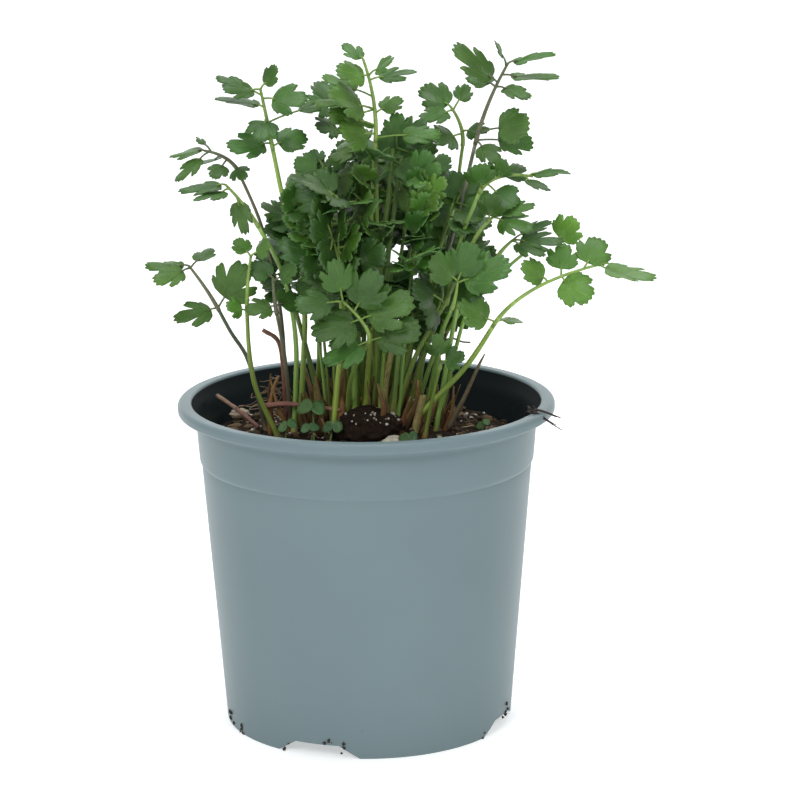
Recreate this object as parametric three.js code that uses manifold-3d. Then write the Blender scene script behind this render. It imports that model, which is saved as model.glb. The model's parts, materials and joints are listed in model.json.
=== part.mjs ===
// Potted coriander: a plastic nursery pot, its soil and 27 leaf stalks, each with its own leaf.
// Millimetres, +Z up, +Y towards the back of the plant. The origin is on the pot's axis, at the
// level the pot stands on.
import * as THREE from 'three';
import { mergeVertices } from 'three/addons/utils/BufferGeometryUtils.js';
import Module from 'manifold-3d';

const wasm = await Module();
wasm.setup();

// ---------- Driving dimensions ----------
const GAP = 0.3; // clearance that touching pieces keep

const POT_HEIGHT = 113.5;
const RIM_RADIUS = 65;
const RIM_LIP_DEPTH = 3.6;
const RIM_INNER_RADIUS = 60.2;
const COLLAR_RADIUS = 58.7; // wall just under the rim
const COLLAR_FOOT = 92.4; // height of the step below the collar
const COLLAR_STEP = 0.7;
const STEP_RADIUS = 57.1; // wall just under the collar's step
const FOOT_RADIUS = 49.9;
const WALL = 1.0;
const BASE_RAISE = 4.8; // the base plate hangs this far above the surface
const BASE_THICKNESS = 1.2;
const PAD_RADIUS = 16; // flat disc pressed down in the middle of the base
const POT_SIDES = 60;

const NOTCH_COUNT = 4; // drainage notches through the foot
const NOTCH_TURN = -21; // degrees of the first notch from the front, towards +X
const NOTCH_HEIGHT = 4.5;
const NOTCH_FOOT_WIDTH = 29.7;
const NOTCH_TOP_WIDTH = 15.7;
const SLOT_LENGTH = 14; // drainage slots in the base plate, inside the notches
const SLOT_WIDTH = 3.4;
const SLOT_RADIUS = 44;

const SOIL_EDGE = 98; // soil level at the wall
const SOIL_MOUND = 7; // extra height under the plant
const SOIL_SPREAD = 32;
const MOUND_Y = 4;

const STALK_SIDES = 6;
const STALK_STEPS = 5;
const RACHIS_RADIUS = 0.7;
const TWIG_RADIUS = 0.45;
const BLADE_THICKNESS = 0.8;
const FOOT_LIFT = 1.2; // the middle of a stalk's foot stands this far over the soil
const TOP_THINNING = 0.75; // a stalk's radius at its top, as a share of that at its foot
const TOUCH_VOLUME = 1e-3;

const COLOURS = {
  pot: '#7e9094', soil: '#2b1c14', clod: '#241812', stone: '#cfcabb', husk: '#b9a68c', straw: '#8d6a52',
  palestalk: '#86a558', darkstalk: '#6a6158', leaf: '#3c6b2c', bluishleaf: '#47704a', lightleaf: '#5f9140',
};

// ---------- Solids ----------
function toSolid(geometry) {
  const bare = geometry.clone();
  bare.deleteAttribute('normal');
  bare.deleteAttribute('uv');
  const merged = mergeVertices(bare, 1e-4);
  return new wasm.Manifold(new wasm.Mesh({
    numProp: 3,
    vertProperties: Float32Array.from(merged.attributes.position.array),
    triVerts: Uint32Array.from(merged.index.array),
  }));
}

function toMesh(name, solid, colour, roughness) {
  const { vertProperties, triVerts } = solid.getMesh();
  const geometry = new THREE.BufferGeometry();
  geometry.setAttribute('position', new THREE.BufferAttribute(vertProperties, 3));
  geometry.setIndex(new THREE.BufferAttribute(triVerts, 1));
  geometry.computeVertexNormals();
  const material = new THREE.MeshStandardMaterial({ color: colour, roughness, metalness: 0 });
  const mesh = new THREE.Mesh(geometry, material);
  mesh.name = name;
  return mesh;
}

function moveVertices(geometry, change) {
  const points = geometry.attributes.position;
  const point = new THREE.Vector3();
  for (let i = 0; i < points.count; i += 1) {
    point.fromBufferAttribute(points, i);
    change(point);
    points.setXYZ(i, point.x, point.y, point.z);
  }
  return geometry;
}

// A closed turned body about +Z, from [radius, height] pairs.
function turned(profile, sides) {
  const lathe = new THREE.LatheGeometry(profile.map(([r, z]) => new THREE.Vector2(r, z)), sides);
  return lathe.rotateX(Math.PI / 2);
}

function largestBody(solid) {
  return solid.decompose().reduce((a, b) => (a.volume() > b.volume() ? a : b));
}

// A round bar along a smooth curve through the points, thinning from one radius to the other.
function bar(points, startRadius, endRadius, steps = STALK_STEPS, sides = STALK_SIDES) {
  const curve = new THREE.CatmullRomCurve3(points, false, 'centripetal');
  const section = new THREE.Shape();
  for (let i = 0; i < sides; i += 1) {
    const turn = (i / sides) * 2 * Math.PI;
    const corner = [startRadius * Math.cos(turn), startRadius * Math.sin(turn)];
    if (i === 0) section.moveTo(...corner);
    else section.lineTo(...corner);
  }
  const tube = new THREE.ExtrudeGeometry(section, { steps, extrudePath: curve, bevelEnabled: false });
  const centres = curve.getSpacedPoints(steps);
  return moveVertices(tube, (point) => {
    const distances = centres.map((centre) => centre.distanceTo(point));
    const ring = distances.indexOf(Math.min(...distances));
    const scale = 1 + (endRadius / startRadius - 1) * (ring / steps);
    point.sub(centres[ring]).multiplyScalar(scale).add(centres[ring]);
  });
}

// ---------- Pot ----------
const wallRadius = (z) => FOOT_RADIUS + (STEP_RADIUS - FOOT_RADIUS) * (z / COLLAR_FOOT);

function potProfile() {
  const lipFoot = POT_HEIGHT - RIM_LIP_DEPTH;
  const baseTop = BASE_RAISE + BASE_THICKNESS;
  const stepRadius = wallRadius(COLLAR_FOOT);
  return [
    [0, 0],
    [PAD_RADIUS, 0],
    [PAD_RADIUS + 2, BASE_RAISE],
    [wallRadius(BASE_RAISE) - WALL, BASE_RAISE],
    [FOOT_RADIUS - WALL, 0],
    [FOOT_RADIUS, 0],
    [wallRadius(baseTop), baseTop],
    [wallRadius(COLLAR_FOOT / 2), COLLAR_FOOT / 2],
    [stepRadius, COLLAR_FOOT],
    [stepRadius + COLLAR_STEP, COLLAR_FOOT + 1],
    [COLLAR_RADIUS, lipFoot - 4],
    [COLLAR_RADIUS + 1.2, lipFoot - 1.2],
    [COLLAR_RADIUS + 3.6, lipFoot],
    [RIM_RADIUS - 0.7, lipFoot],
    [RIM_RADIUS, lipFoot + 0.8],
    [RIM_RADIUS, POT_HEIGHT - 1.3],
    [RIM_RADIUS - 1.3, POT_HEIGHT],
    [RIM_INNER_RADIUS + 1, POT_HEIGHT],
    [RIM_INNER_RADIUS, POT_HEIGHT - 0.8],
    [COLLAR_RADIUS + 0.4, lipFoot - 0.4],
    [COLLAR_RADIUS - WALL, lipFoot - 4],
    [stepRadius + COLLAR_STEP - WALL, COLLAR_FOOT + 1],
    [stepRadius - WALL, COLLAR_FOOT],
    [wallRadius(baseTop) - WALL, baseTop],
    [PAD_RADIUS + 1, baseTop],
    [PAD_RADIUS - 1, BASE_THICKNESS],
    [0, BASE_THICKNESS],
  ];
}

function notchCutter() {
  const flare = (NOTCH_FOOT_WIDTH - NOTCH_TOP_WIDTH) / 2 / NOTCH_HEIGHT;
  const foot = NOTCH_FOOT_WIDTH / 2 + flare;
  const outline = new THREE.Shape([
    new THREE.Vector2(-foot, -1),
    new THREE.Vector2(foot, -1),
    new THREE.Vector2(NOTCH_TOP_WIDTH / 2, NOTCH_HEIGHT),
    new THREE.Vector2(-NOTCH_TOP_WIDTH / 2, NOTCH_HEIGHT),
  ]);
  const depth = 20;
  const prism = new THREE.ExtrudeGeometry(outline, { depth, bevelEnabled: false });
  return prism.rotateX(Math.PI / 2).translate(0, -FOOT_RADIUS + depth / 2 + 1, 0);
}

function slotCutter() {
  const slot = new THREE.BoxGeometry(SLOT_LENGTH, SLOT_WIDTH, BASE_THICKNESS + 2);
  return slot.translate(0, -SLOT_RADIUS, BASE_RAISE + BASE_THICKNESS / 2);
}

function makePot() {
  let pot = toSolid(turned(potProfile(), POT_SIDES));
  for (let i = 0; i < NOTCH_COUNT; i += 1) {
    const turn = THREE.MathUtils.degToRad(NOTCH_TURN + (360 / NOTCH_COUNT) * i);
    pot = pot.subtract(toSolid(notchCutter().rotateZ(turn)));
    pot = pot.subtract(toSolid(slotCutter().rotateZ(turn)));
  }
  return pot;
}

// ---------- Soil and what lies on it ----------
function soilLevel(x, y) {
  const distance = Math.hypot(x, y - MOUND_Y);
  const mound = SOIL_MOUND * Math.exp(-((distance / SOIL_SPREAD) ** 2));
  return SOIL_EDGE + mound + 0.7 * Math.sin(x / 7) * Math.cos(y / 9);
}

function soilGeometry(lift = 0) {
  const baseTop = BASE_RAISE + BASE_THICKNESS + GAP;
  const topRadius = wallRadius(COLLAR_FOOT) - WALL - GAP;
  const profile = [
    [0, BASE_THICKNESS + GAP],
    [PAD_RADIUS - 1.4, BASE_THICKNESS + GAP],
    [PAD_RADIUS + 0.6, baseTop],
    [wallRadius(baseTop) - WALL - GAP, baseTop],
    [topRadius, COLLAR_FOOT],
    [topRadius + COLLAR_STEP - 0.1, SOIL_EDGE],
    [42, SOIL_EDGE],
    [28, SOIL_EDGE],
    [14, SOIL_EDGE],
    [0, SOIL_EDGE],
  ];
  return moveVertices(turned(profile, 24), (point) => {
    if (point.z >= SOIL_EDGE - 0.01) point.z = soilLevel(point.x, point.y) + lift;
  });
}

// A rounded lump: an icosahedron stretched to its three half sizes and roughened.
function lump(centre, halfSizes, detail, roughness) {
  const ball = new THREE.IcosahedronGeometry(1, detail);
  return moveVertices(ball, (point) => {
    const bump = 1 + roughness * Math.sin(5 * point.x + 2) * Math.sin(6 * point.y + 1) * Math.cos(5 * point.z);
    point.multiplyScalar(bump).multiply(new THREE.Vector3(...halfSizes)).add(new THREE.Vector3(...centre));
  });
}

const CLOD = { centre: [0, -11, 104], halfSizes: [12, 8, 8.5] };
const STONE = { centre: [9, -23, 103.8], halfSizes: [3.9, 2.6, 1.8] };
const HUSK = { centre: [-45, 27, 101.6], halfSizes: [3.4, 2.2, 1.7] };
const STRAW = { from: [-52, 21, 110], to: [-38, 3, 103.6], radius: 0.8 };

// ---------- Leaves ----------
// Half the outline of one leaflet's blade: [along the midrib, to the side], both as shares of the
// blade's length. Three lobes: a side lobe on each side and the end lobe.
const LOBES = [[0.3, 0.16], [0.45, 0.5], [0.64, 0.24], [0.85, 0.3]];
const HUB = 0.6; // the blade's highest point, as a share of its length
const DROOP = 0.1;
const ARCH = 0.12;

// The outline in mm: a thin twig from the fork, then the blade, out to the tip and back.
function leafletOutline(twig, blade, wide) {
  const half = [[0, TWIG_RADIUS], ...LOBES.map(([along, side]) => [along * blade, side * blade * wide])];
  const right = half.map(([along, side]) => new THREE.Vector2(twig + along, -side));
  const left = [...right].reverse().map((corner) => new THREE.Vector2(corner.x, -corner.y));
  return [new THREE.Vector2(0, 0), ...right, new THREE.Vector2(twig + blade, 0), ...left];
}

// One leaflet on its twig, from the fork past the blade's root to the tip. The tilt turns its face
// from the sky (0) to the front (90).
function leaflet(fork, { root, tip, wide, tilt }, grow = 0) {
  const along = tip.clone().sub(fork);
  const length = along.length();
  const twig = Math.min(root.distanceTo(fork), 0.6 * length);
  const blade = length - twig;
  along.normalize();
  const turn = THREE.MathUtils.degToRad(tilt);
  const facing = new THREE.Vector3(0, -Math.sin(turn), Math.cos(turn));
  const up = facing.addScaledVector(along, -facing.dot(along)).normalize();
  const side = up.clone().cross(along);
  const hub = new THREE.Vector2(twig + HUB * blade, 0);
  const outline = leafletOutline(twig, blade, wide);
  const disc = new THREE.CylinderGeometry(1, 1, BLADE_THICKNESS + 2 * grow, outline.length);
  return moveVertices(disc, (point) => {
    const place = hub.clone();
    if (Math.hypot(point.x, point.z) > 0.5) {
      const share = Math.atan2(point.x, point.z) / (2 * Math.PI);
      const corner = outline[Math.round((share + 1) * outline.length) % outline.length];
      const outward = corner.clone().sub(hub).normalize().multiplyScalar(2 * grow);
      place.copy(corner).add(outward);
    }
    const bend = -DROOP * Math.max(0, place.x - twig) ** 2 - ARCH * (2 * place.y) ** 2;
    point.set(place.x, place.y, point.y + bend / blade);
    const [forward, sideways, lift] = point.toArray();
    point.copy(fork).addScaledVector(along, forward);
    point.addScaledVector(side, sideways).addScaledVector(up, lift);
  });
}

// Points every millimetre or so along the middle of a bar with this many steps.
function middleLine(curve, steps) {
  const rings = curve.getSpacedPoints(steps);
  const each = Math.ceil(curve.getLength() / steps);
  return rings.slice(1).flatMap((ring, i) => (
    Array.from({ length: each }, (_, k) => rings[i].clone().lerp(ring, (k + 0.5) / each))));
}

// A leaflet's twig leaves the rachis a little before the point nearest to its blade.
function forkPoint(middle, root) {
  const distances = middle.map((point) => point.distanceTo(root));
  const nearest = distances.indexOf(Math.min(...distances));
  return middle[Math.max(0, nearest - Math.round(0.6 * distances[nearest]))];
}

function makeLeaf(rachisPoints, leaflets, grow = 0) {
  const rachis = new THREE.CatmullRomCurve3(rachisPoints, false, 'centripetal');
  const steps = Math.max(1, Math.round(rachis.getLength() / 12));
  const middle = middleLine(rachis, steps);
  let leaf = toSolid(bar(rachisPoints, RACHIS_RADIUS + grow, TWIG_RADIUS + grow, steps, 5));
  for (const blade of leaflets) {
    leaf = leaf.add(toSolid(leaflet(forkPoint(middle, blade.root), blade, grow)));
  }
  return leaf;
}

// ---------- The plant ----------
// Each stalk: its name, its depth (y of the leaf), the foot of its stalk on the soil [x, y], the
// points it passes [x, z], the rachis of its leaf [x, z], its thickness, and its leaflets, each
// [root x, root z, tip x, tip z, lean to the back, width as a share of length, tilt].
const STALKS = [
  {
    name: 'top_left', depth: 5, foot: [-23, 8], radius: 1.1, colour: 'leaf',
    via: [[-21, 145], [-23, 165], [-30, 190]], rachis: [[-31, 200], [-33, 213], [-35, 221]],
    leaflets: [
      [-36, 225, -49, 225, 3, 0.55, 25], [-35, 222, -30, 228, -2, 0.7, 40], [-36, 221, -46, 222, -6, 0.5, 45],
      [-32, 219, -20, 218, -4, 0.8, 50], [-24, 217, -13, 215, 6, 0.5, 20], [-35, 215, -49, 219, 5, 0.5, 5],
      [-33, 212, -35, 205, -8, 0.9, 60], [-33, 202, -45, 203, -5, 0.75, 35], [-29, 201, -20, 205, 4, 0.8, 45],
    ],
  },
  {
    name: 'left_arching', depth: -10, foot: [-25, -2], radius: 1.0, colour: 'leaf',
    via: [[-24, 136], [-28, 159]], rachis: [[-36, 176], [-45, 189], [-47, 192]],
    leaflets: [
      [-46, 192, -61, 192, -3, 0.5, 15], [-46, 189, -56, 188, -7, 0.55, 10], [-43, 187, -40, 175, -5, 0.5, 60],
    ],
  },
  {
    name: 'left_high', depth: 7, foot: [-28, 12], radius: 0.8, colour: 'leaf', dark: true,
    via: [[-29, 138], [-34, 168], [-40, 185]], rachis: [[-43, 192], [-47, 198], [-54, 200]],
    leaflets: [
      [-55, 200, -66, 199, 3, 0.6, 12], [-56, 198, -64, 192, -6, 0.5, 15], [-46, 197, -41, 192, -7, 0.9, 60],
      [-49, 198, -56, 195, 8, 0.6, 20], [-47, 196, -51, 192, -6, 0.8, 45], [-51, 203, -57, 203, 5, 0.5, 5],
    ],
  },
  {
    name: 'left_low', depth: -8, foot: [-35, 5], radius: 0.9, colour: 'leaf', dark: true,
    via: [[-41, 129], [-47, 140]], rachis: [[-50, 147], [-54, 154], [-58, 162], [-60, 163]],
    leaflets: [
      [-61, 163, -74, 163, 2, 0.5, 20], [-61, 162, -70, 160, -7, 0.6, 45], [-58, 165, -53, 167, 7, 0.8, 0],
      [-52, 147, -64, 146, -4, 0.65, 40], [-48, 151, -41, 162, -3, 0.95, 72],
    ],
  },
  {
    name: 'left_inner', depth: -14, foot: [-31, -5], radius: 1.0, colour: 'leaf',
    via: [[-38, 120], [-40, 140]], rachis: [[-40, 147], [-40, 158], [-38, 167]],
    leaflets: [
      [-37, 168, -33, 172, -3, 1, 40], [-39, 168, -43, 172, 3, 0.9, 30], [-41, 146, -45, 151, -5, 0.9, 60],
      [-38, 146, -30, 147, 8, 0.6, 0],
    ],
  },
  {
    name: 'inner_purple', depth: 0, foot: [-26, 3], radius: 0.9, colour: 'leaf', dark: true,
    via: [[-28, 132]], rachis: [[-30, 147], [-31, 157], [-31, 160]],
    leaflets: [
      [-31, 160, -38, 164, 3, 0.8, 50], [-29, 160, -24, 164, -5, 0.8, 50],
      [-31, 150, -39, 150, -4, 0.8, 45], [-29, 150, -22, 152, 5, 1, 50],
    ],
  },
  {
    name: 'top_centre', depth: 0, foot: [0, 5], radius: 1.1, colour: 'leaf',
    via: [[2, 149], [3, 190]], rachis: [[4, 203], [4, 217], [3, 226], [0, 231]],
    leaflets: [
      [0, 231, -6, 236, 4, 0.6, 30], [2, 225, -7, 229, -5, 0.8, 45], [4, 226, 17, 228, 3, 0.5, 25],
      [4, 228, 9, 232, -6, 0.7, 40], [-3, 219, -13, 225, 5, 0.5, 30], [-4, 217, -15, 219, -6, 0.45, 20],
      [0, 216, -10, 221, -11, 0.7, 50], [0, 211, -10, 214, -6, 0.85, 60], [1, 206, -6, 209, -9, 0.9, 60],
      [12, 208, 25, 207, -2, 0.55, 40], [6, 214, 13, 217, 6, 0.6, 45],
    ],
  },
  {
    name: 'top_centre_back', depth: 17, foot: [-6, 14], radius: 0.9, colour: 'leaf', dark: true,
    via: [[-4, 150], [-2, 198]], rachis: [[-8, 205], [-11, 213]],
    leaflets: [
      [-12, 213, -18, 214, -7, 0.9, 50], [-9, 206, -15, 206, -8, 0.8, 60], [-9, 212, -4, 216, 8, 0.8, 30],
      [-12, 214, -15, 220, 6, 0.9, 0],
    ],
  },
  {
    name: 'upper_right', depth: 16, foot: [17, 13], radius: 0.9, colour: 'leaf',
    via: [[24, 150], [33, 188]], rachis: [[34, 199], [33, 208], [30, 213]],
    leaflets: [
      [30, 213, 20, 219, 4, 0.7, 60], [31, 215, 36, 219, 4, 0.8, 60], [30, 211, 20, 210, -7, 0.55, 40],
      [34, 206, 41, 206, -6, 0.7, 50], [33, 204, 25, 203, -9, 0.8, 60],
    ],
  },
  {
    name: 'top_right', depth: 6, foot: [14, 8], radius: 1.0, colour: 'leaf', dark: true,
    via: [[25, 150], [33, 180]], rachis: [[38, 201], [42, 212], [45, 220], [49, 229]],
    leaflets: [
      [49, 230, 64, 233, 3, 0.35, 15], [48, 231, 46, 236, -4, 0.6, 30], [50, 224, 66, 224, 4, 0.45, 10],
      [47, 221, 55, 220, -8, 0.5, 30], [44, 223, 33, 235, -3, 0.5, 45], [44, 222, 36, 226, 8, 0.6, 40],
      [46, 206, 55, 209, -6, 0.9, 60], [46, 203, 58, 201, 4, 0.7, 50], [39, 200, 45, 197, -7, 0.7, 50],
    ],
  },
  {
    name: 'right_middle', depth: -5, foot: [20, 5], radius: 1.0, colour: 'leaf',
    via: [[27, 140], [32, 167]], rachis: [[39, 186], [46, 190], [53, 190], [56, 192]],
    leaflets: [
      [56, 193, 69, 194, 3, 0.4, 12], [54, 189, 62, 189, -6, 0.5, 5], [40, 188, 39, 195, -5, 1, 60],
      [45, 191, 46, 197, -4, 1, 60], [48, 190, 54, 195, 6, 0.8, 50], [44, 187, 50, 184, -7, 0.9, 50],
    ],
  },
  {
    name: 'right_front', depth: -14, foot: [24, -2], radius: 1.0, colour: 'leaf',
    via: [[30, 140]], rachis: [[36, 168], [40, 176], [45, 181]],
    leaflets: [
      [45, 181, 56, 184, -3, 0.5, 35], [44, 179, 55, 177, -8, 0.6, 50], [41, 179, 43, 186, -5, 0.9, 60],
    ],
  },
  {
    name: 'right_low_dark', depth: -24, foot: [16, 0], radius: 1.0, colour: 'leaf',
    via: [[24, 135]], rachis: [[29, 150], [31, 160]],
    leaflets: [
      [32, 160, 47, 166, -4, 0.7, 55], [31, 161, 35, 172, -3, 0.8, 60], [30, 160, 24, 168, -5, 0.8, 60],
    ],
  },
  {
    name: 'right_outer', depth: -14, foot: [25, 6], radius: 0.9, colour: 'bluishleaf',
    via: [[35, 146]], rachis: [[45, 166], [50, 172]],
    leaflets: [
      [51, 173, 66, 172, -3, 0.5, 40], [52, 174, 62, 178, 5, 0.45, 20], [50, 171, 59, 169, -8, 0.5, 30],
    ],
  },
  {
    name: 'right_round', depth: -9, foot: [22, 9], radius: 0.9, colour: 'lightleaf',
    via: [[28, 136], [41, 152]], rachis: [[55, 165], [66, 169]],
    leaflets: [[66, 169, 71, 176, -2, 1.05, 65]],
  },
  {
    name: 'right_long', depth: -20, foot: [15, -4], radius: 1.2, colour: 'lightleaf',
    via: [[34, 127]], rachis: [[43, 143], [52, 151], [64, 160], [80, 163]],
    leaflets: [
      [80, 163, 96, 158, -4, 0.4, 25], [62, 160, 53, 165, -4, 0.7, 55], [65, 162, 67, 170, 3, 1, 60],
      [74, 164, 79, 172, 4, 0.95, 60], [66, 159, 75, 154, -5, 0.9, 55], [43, 146, 33, 152, -4, 0.8, 55],
      [46, 145, 53, 144, 7, 0.5, 20],
    ],
  },
  {
    name: 'right_small', depth: -21, foot: [20, -12], radius: 0.8, colour: 'bluishleaf',
    via: [[23, 120]], rachis: [[25, 129], [25, 132]],
    leaflets: [[24, 133, 24, 140, -3, 1, 60], [26, 132, 32, 134, -3, 1, 60]],
  },
  {
    name: 'front_large', depth: -30, foot: [-7, 0], radius: 1.0, colour: 'bluishleaf',
    via: [[-5, 124]], rachis: [[1, 140], [-2, 149], [-9, 155]],
    leaflets: [
      [-11, 156, -22, 155, -5, 0.75, 55], [-9, 157, -10, 168, -4, 0.8, 60], [-3, 152, 3, 164, -5, 0.85, 62],
      [0, 149, 14, 156, -4, 0.8, 58], [-3, 148, -17, 145, -5, 0.8, 50], [3, 142, 17, 146, -3, 0.8, 60],
      [-1, 141, -13, 136, -5, 0.7, 50],
    ],
  },
];

// The bushy middle: stalks that fan out at the golden angle, with shorter leaves lower down.
const BUSH_COUNT = 9;
const BUSH_MIDDLE = new THREE.Vector3(6, 5, 170);
const BUSH_REACH = new THREE.Vector3(33, 30, 27);
const BUSH_PHASE = 0.6;
const BUSH_TOP_LEVEL = 0.8; // of the bush's half height, for the first stalk
const BUSH_LEVEL_RANGE = 1.5; // from the first stalk down to the last
const GOLDEN_ANGLE = Math.PI * (3 - Math.sqrt(5));
const CLUMP_MIDDLE = new THREE.Vector3(-3, 8, 0);
const CLUMP_RADIUS = 17;
const CLUMP_CORE = 0.3; // share of the clump's radius that the innermost stalks keep
const BUSH_SHIFT = 5; // degrees about the clump for each unit of shift
const BUSH_TILT = 42;
const BUSH_TILT_SPREAD = 24;
const BUSH_RUN = 5; // how far a rachis leads outward and up
const BUSH_RISE = 13;
const BUSH_BOW = 2.5;
const END_LEAFLET = { rise: 0.35, reach: 16 };
// Pairs of side leaflets: [share of the rachis, distance out from it, rise, length]
const SIDE_LEAFLETS = [[0.85, 3, 0.3, 14], [0.5, 9, 0.45, 13], [0.3, 3, -0.15, 13], [-0.1, 7, -0.5, 12]];

// The shift turns the stalk about the clump.
function bushStalk(index, shift) {
  const turn = GOLDEN_ANGLE * index + BUSH_PHASE + THREE.MathUtils.degToRad(shift * BUSH_SHIFT);
  const level = BUSH_TOP_LEVEL - (BUSH_LEVEL_RANGE * index) / BUSH_COUNT;
  const out = Math.sqrt(1 - level * level);
  const heading = new THREE.Vector3(Math.cos(turn), Math.sin(turn), 0);
  const across = new THREE.Vector3(-heading.y, heading.x, 0);
  const end = new THREE.Vector3(heading.x * out, heading.y * out, level).multiply(BUSH_REACH).add(BUSH_MIDDLE);
  const fromMiddle = CLUMP_RADIUS * (CLUMP_CORE + (1 - CLUMP_CORE) * out);
  const foot = CLUMP_MIDDLE.clone().addScaledVector(heading, fromMiddle);
  foot.z = soilLevel(foot.x, foot.y) + FOOT_LIFT;
  const start = end.clone().addScaledVector(heading, -BUSH_RUN);
  start.z -= BUSH_RISE;
  const bow = foot.clone().lerp(start, 0.55).addScaledVector(heading, -BUSH_BOW);
  const leaflets = [];
  const add = (along, side, apart, rise, reach) => {
    const root = start.clone().lerp(end, along).addScaledVector(across, side * apart);
    const direction = heading.clone().multiplyScalar(side === 0 ? 1 : 0.5);
    direction.addScaledVector(across, side).setZ(rise).normalize();
    const tilt = BUSH_TILT + BUSH_TILT_SPREAD * Math.sin(5 * index + 7 * leaflets.length);
    leaflets.push({ root, tip: root.clone().addScaledVector(direction, reach), wide: 1, tilt });
  };
  add(1, 0, 0, END_LEAFLET.rise, END_LEAFLET.reach);
  for (const side of [1, -1]) {
    for (const [along, apart, rise, reach] of SIDE_LEAFLETS) add(along, side, apart, rise, reach);
  }
  return {
    name: `bush_${String(index + 1).padStart(2, '0')}`,
    stalk: [foot, bow, start],
    rachis: [start, end],
    leaflets,
    radius: 1.1,
    colour: index % 3 === 0 ? 'leaf' : 'bluishleaf',
    dark: false,
  };
}

// The shift moves the leaf back or forward; its foot stays in the soil.
function placedStalk(row, shift) {
  const at = ([x, z], y) => new THREE.Vector3(x, y, z);
  const depth = row.depth + shift;
  const [footX, footY] = row.foot;
  const foot = new THREE.Vector3(footX, footY, soilLevel(footX, footY) + FOOT_LIFT);
  const start = at(row.rachis[0], depth);
  const rise = (z) => footY + (depth - footY) * ((z - foot.z) / (start.z - foot.z)) ** 1.3;
  const via = row.via.map((point) => at(point, rise(point[1])));
  const leaflets = row.leaflets.map(([x, z, toX, toZ, lean, wide, tilt]) => ({
    root: new THREE.Vector3(x, depth + 0.3 * lean, z),
    tip: new THREE.Vector3(toX, depth + 1.3 * lean, toZ),
    wide,
    tilt,
  }));
  return {
    name: row.name, stalk: [foot, ...via, start], rachis: row.rachis.map((point) => at(point, depth)),
    leaflets, radius: row.radius, colour: row.colour, dark: Boolean(row.dark),
  };
}

function stalkEnd(plan) {
  const points = plan.stalk.map((point) => point.clone());
  const last = points[points.length - 1];
  const back = points[points.length - 2].clone().sub(last).normalize();
  last.addScaledVector(back, 2 * GAP);
  return points;
}

const SHIFTS = [0, 3, -3, 6, -6, 9, -9, 12, -12, 15, -15, 18, -18, 22, -22];

function touches(solid, taken) {
  return taken.some((other) => {
    const a = solid.boundingBox();
    const b = other.boundingBox();
    const apart = [0, 1, 2].some((i) => a.min[i] > b.max[i] || b.min[i] > a.max[i]);
    return !apart && solid.intersect(other).volume() > TOUCH_VOLUME;
  });
}

// Grows one stalk and its leaf where they touch nothing that already stands.
function growStalk(makePlan, taken) {
  let best = null;
  for (const shift of SHIFTS) {
    const tried = makePlan(shift);
    const points = stalkEnd(tried);
    const clear = !touches(toSolid(bar(points, tried.radius + GAP, tried.radius * TOP_THINNING + GAP)), taken)
      && !touches(makeLeaf(tried.rachis, [], GAP), taken);
    if (clear) {
      const blades = tried.leaflets.filter((blade) => !touches(makeLeaf(tried.rachis, [blade], GAP), taken));
      if (best === null || blades.length > best.blades.length) best = { tried, points, blades };
      if (blades.length === tried.leaflets.length) break;
    }
  }
  if (best === null) return null;
  const { tried, points, blades } = best;
  return {
    ...tried,
    stalkSolid: toSolid(bar(points, tried.radius, tried.radius * TOP_THINNING)),
    leafSolid: makeLeaf(tried.rachis, blades),
  };
}

// ---------- Assembly ----------
const plant = new THREE.Group();
const potSolid = makePot();
const soilSolid = toSolid(soilGeometry());
const soilReach = toSolid(soilGeometry(GAP));
const clodSolid = toSolid(lump(CLOD.centre, CLOD.halfSizes, 1, 0.12)).subtract(soilReach);
const stoneSolid = toSolid(lump(STONE.centre, STONE.halfSizes, 1, 0.1)).subtract(soilReach);
const huskSolid = toSolid(lump(HUSK.centre, HUSK.halfSizes, 1, 0.1)).subtract(soilReach);
const strawEnds = [new THREE.Vector3(...STRAW.from), new THREE.Vector3(...STRAW.to)];
const strawSolid = toSolid(bar(strawEnds, STRAW.radius, STRAW.radius, 2)).subtract(soilReach);
plant.add(toMesh('pot', potSolid, COLOURS.pot, 0.42));
plant.add(toMesh('soil', soilSolid, COLOURS.soil, 1));
plant.add(toMesh('peat_clod', largestBody(clodSolid), COLOURS.clod, 1));
plant.add(toMesh('white_stone', largestBody(stoneSolid), COLOURS.stone, 0.8));
plant.add(toMesh('seed_husk', largestBody(huskSolid), COLOURS.husk, 0.8));
plant.add(toMesh('straw', largestBody(strawSolid), COLOURS.straw, 0.7));

const taken = [potSolid, clodSolid, stoneSolid, huskSolid, strawSolid];
const planMakers = [
  ...STALKS.map((row) => (shift) => placedStalk(row, shift)),
  ...Array.from({ length: BUSH_COUNT }, (_, index) => (shift) => bushStalk(index, shift)),
];
for (const makePlan of planMakers) {
  const grown = growStalk(makePlan, taken);
  if (grown === null) throw new Error(`no room for ${makePlan(0).name}`);
  taken.push(grown.stalkSolid, grown.leafSolid);
  const stalkColour = grown.dark ? COLOURS.darkstalk : COLOURS.palestalk;
  plant.add(toMesh(`stalk_${grown.name}`, grown.stalkSolid, stalkColour, 0.5));
  plant.add(toMesh(`leaf_${grown.name}`, grown.leafSolid, COLOURS[grown.colour], 0.6));
}

export default plant;
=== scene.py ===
"""Looks of the potted coriander: a nursery pot, peat soil and a young coriander plant.

Everything is in metres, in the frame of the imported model. Stalks and leaflets are found in the CAD
nodes, so the fine plant stands where the plain one does.
"""
import json
import random
from math import cos, exp, hypot, pi, radians, sin, sqrt

import bmesh
import bpy
from mathutils import Matrix, Vector, noise
from mathutils.bvhtree import BVHTree


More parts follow.
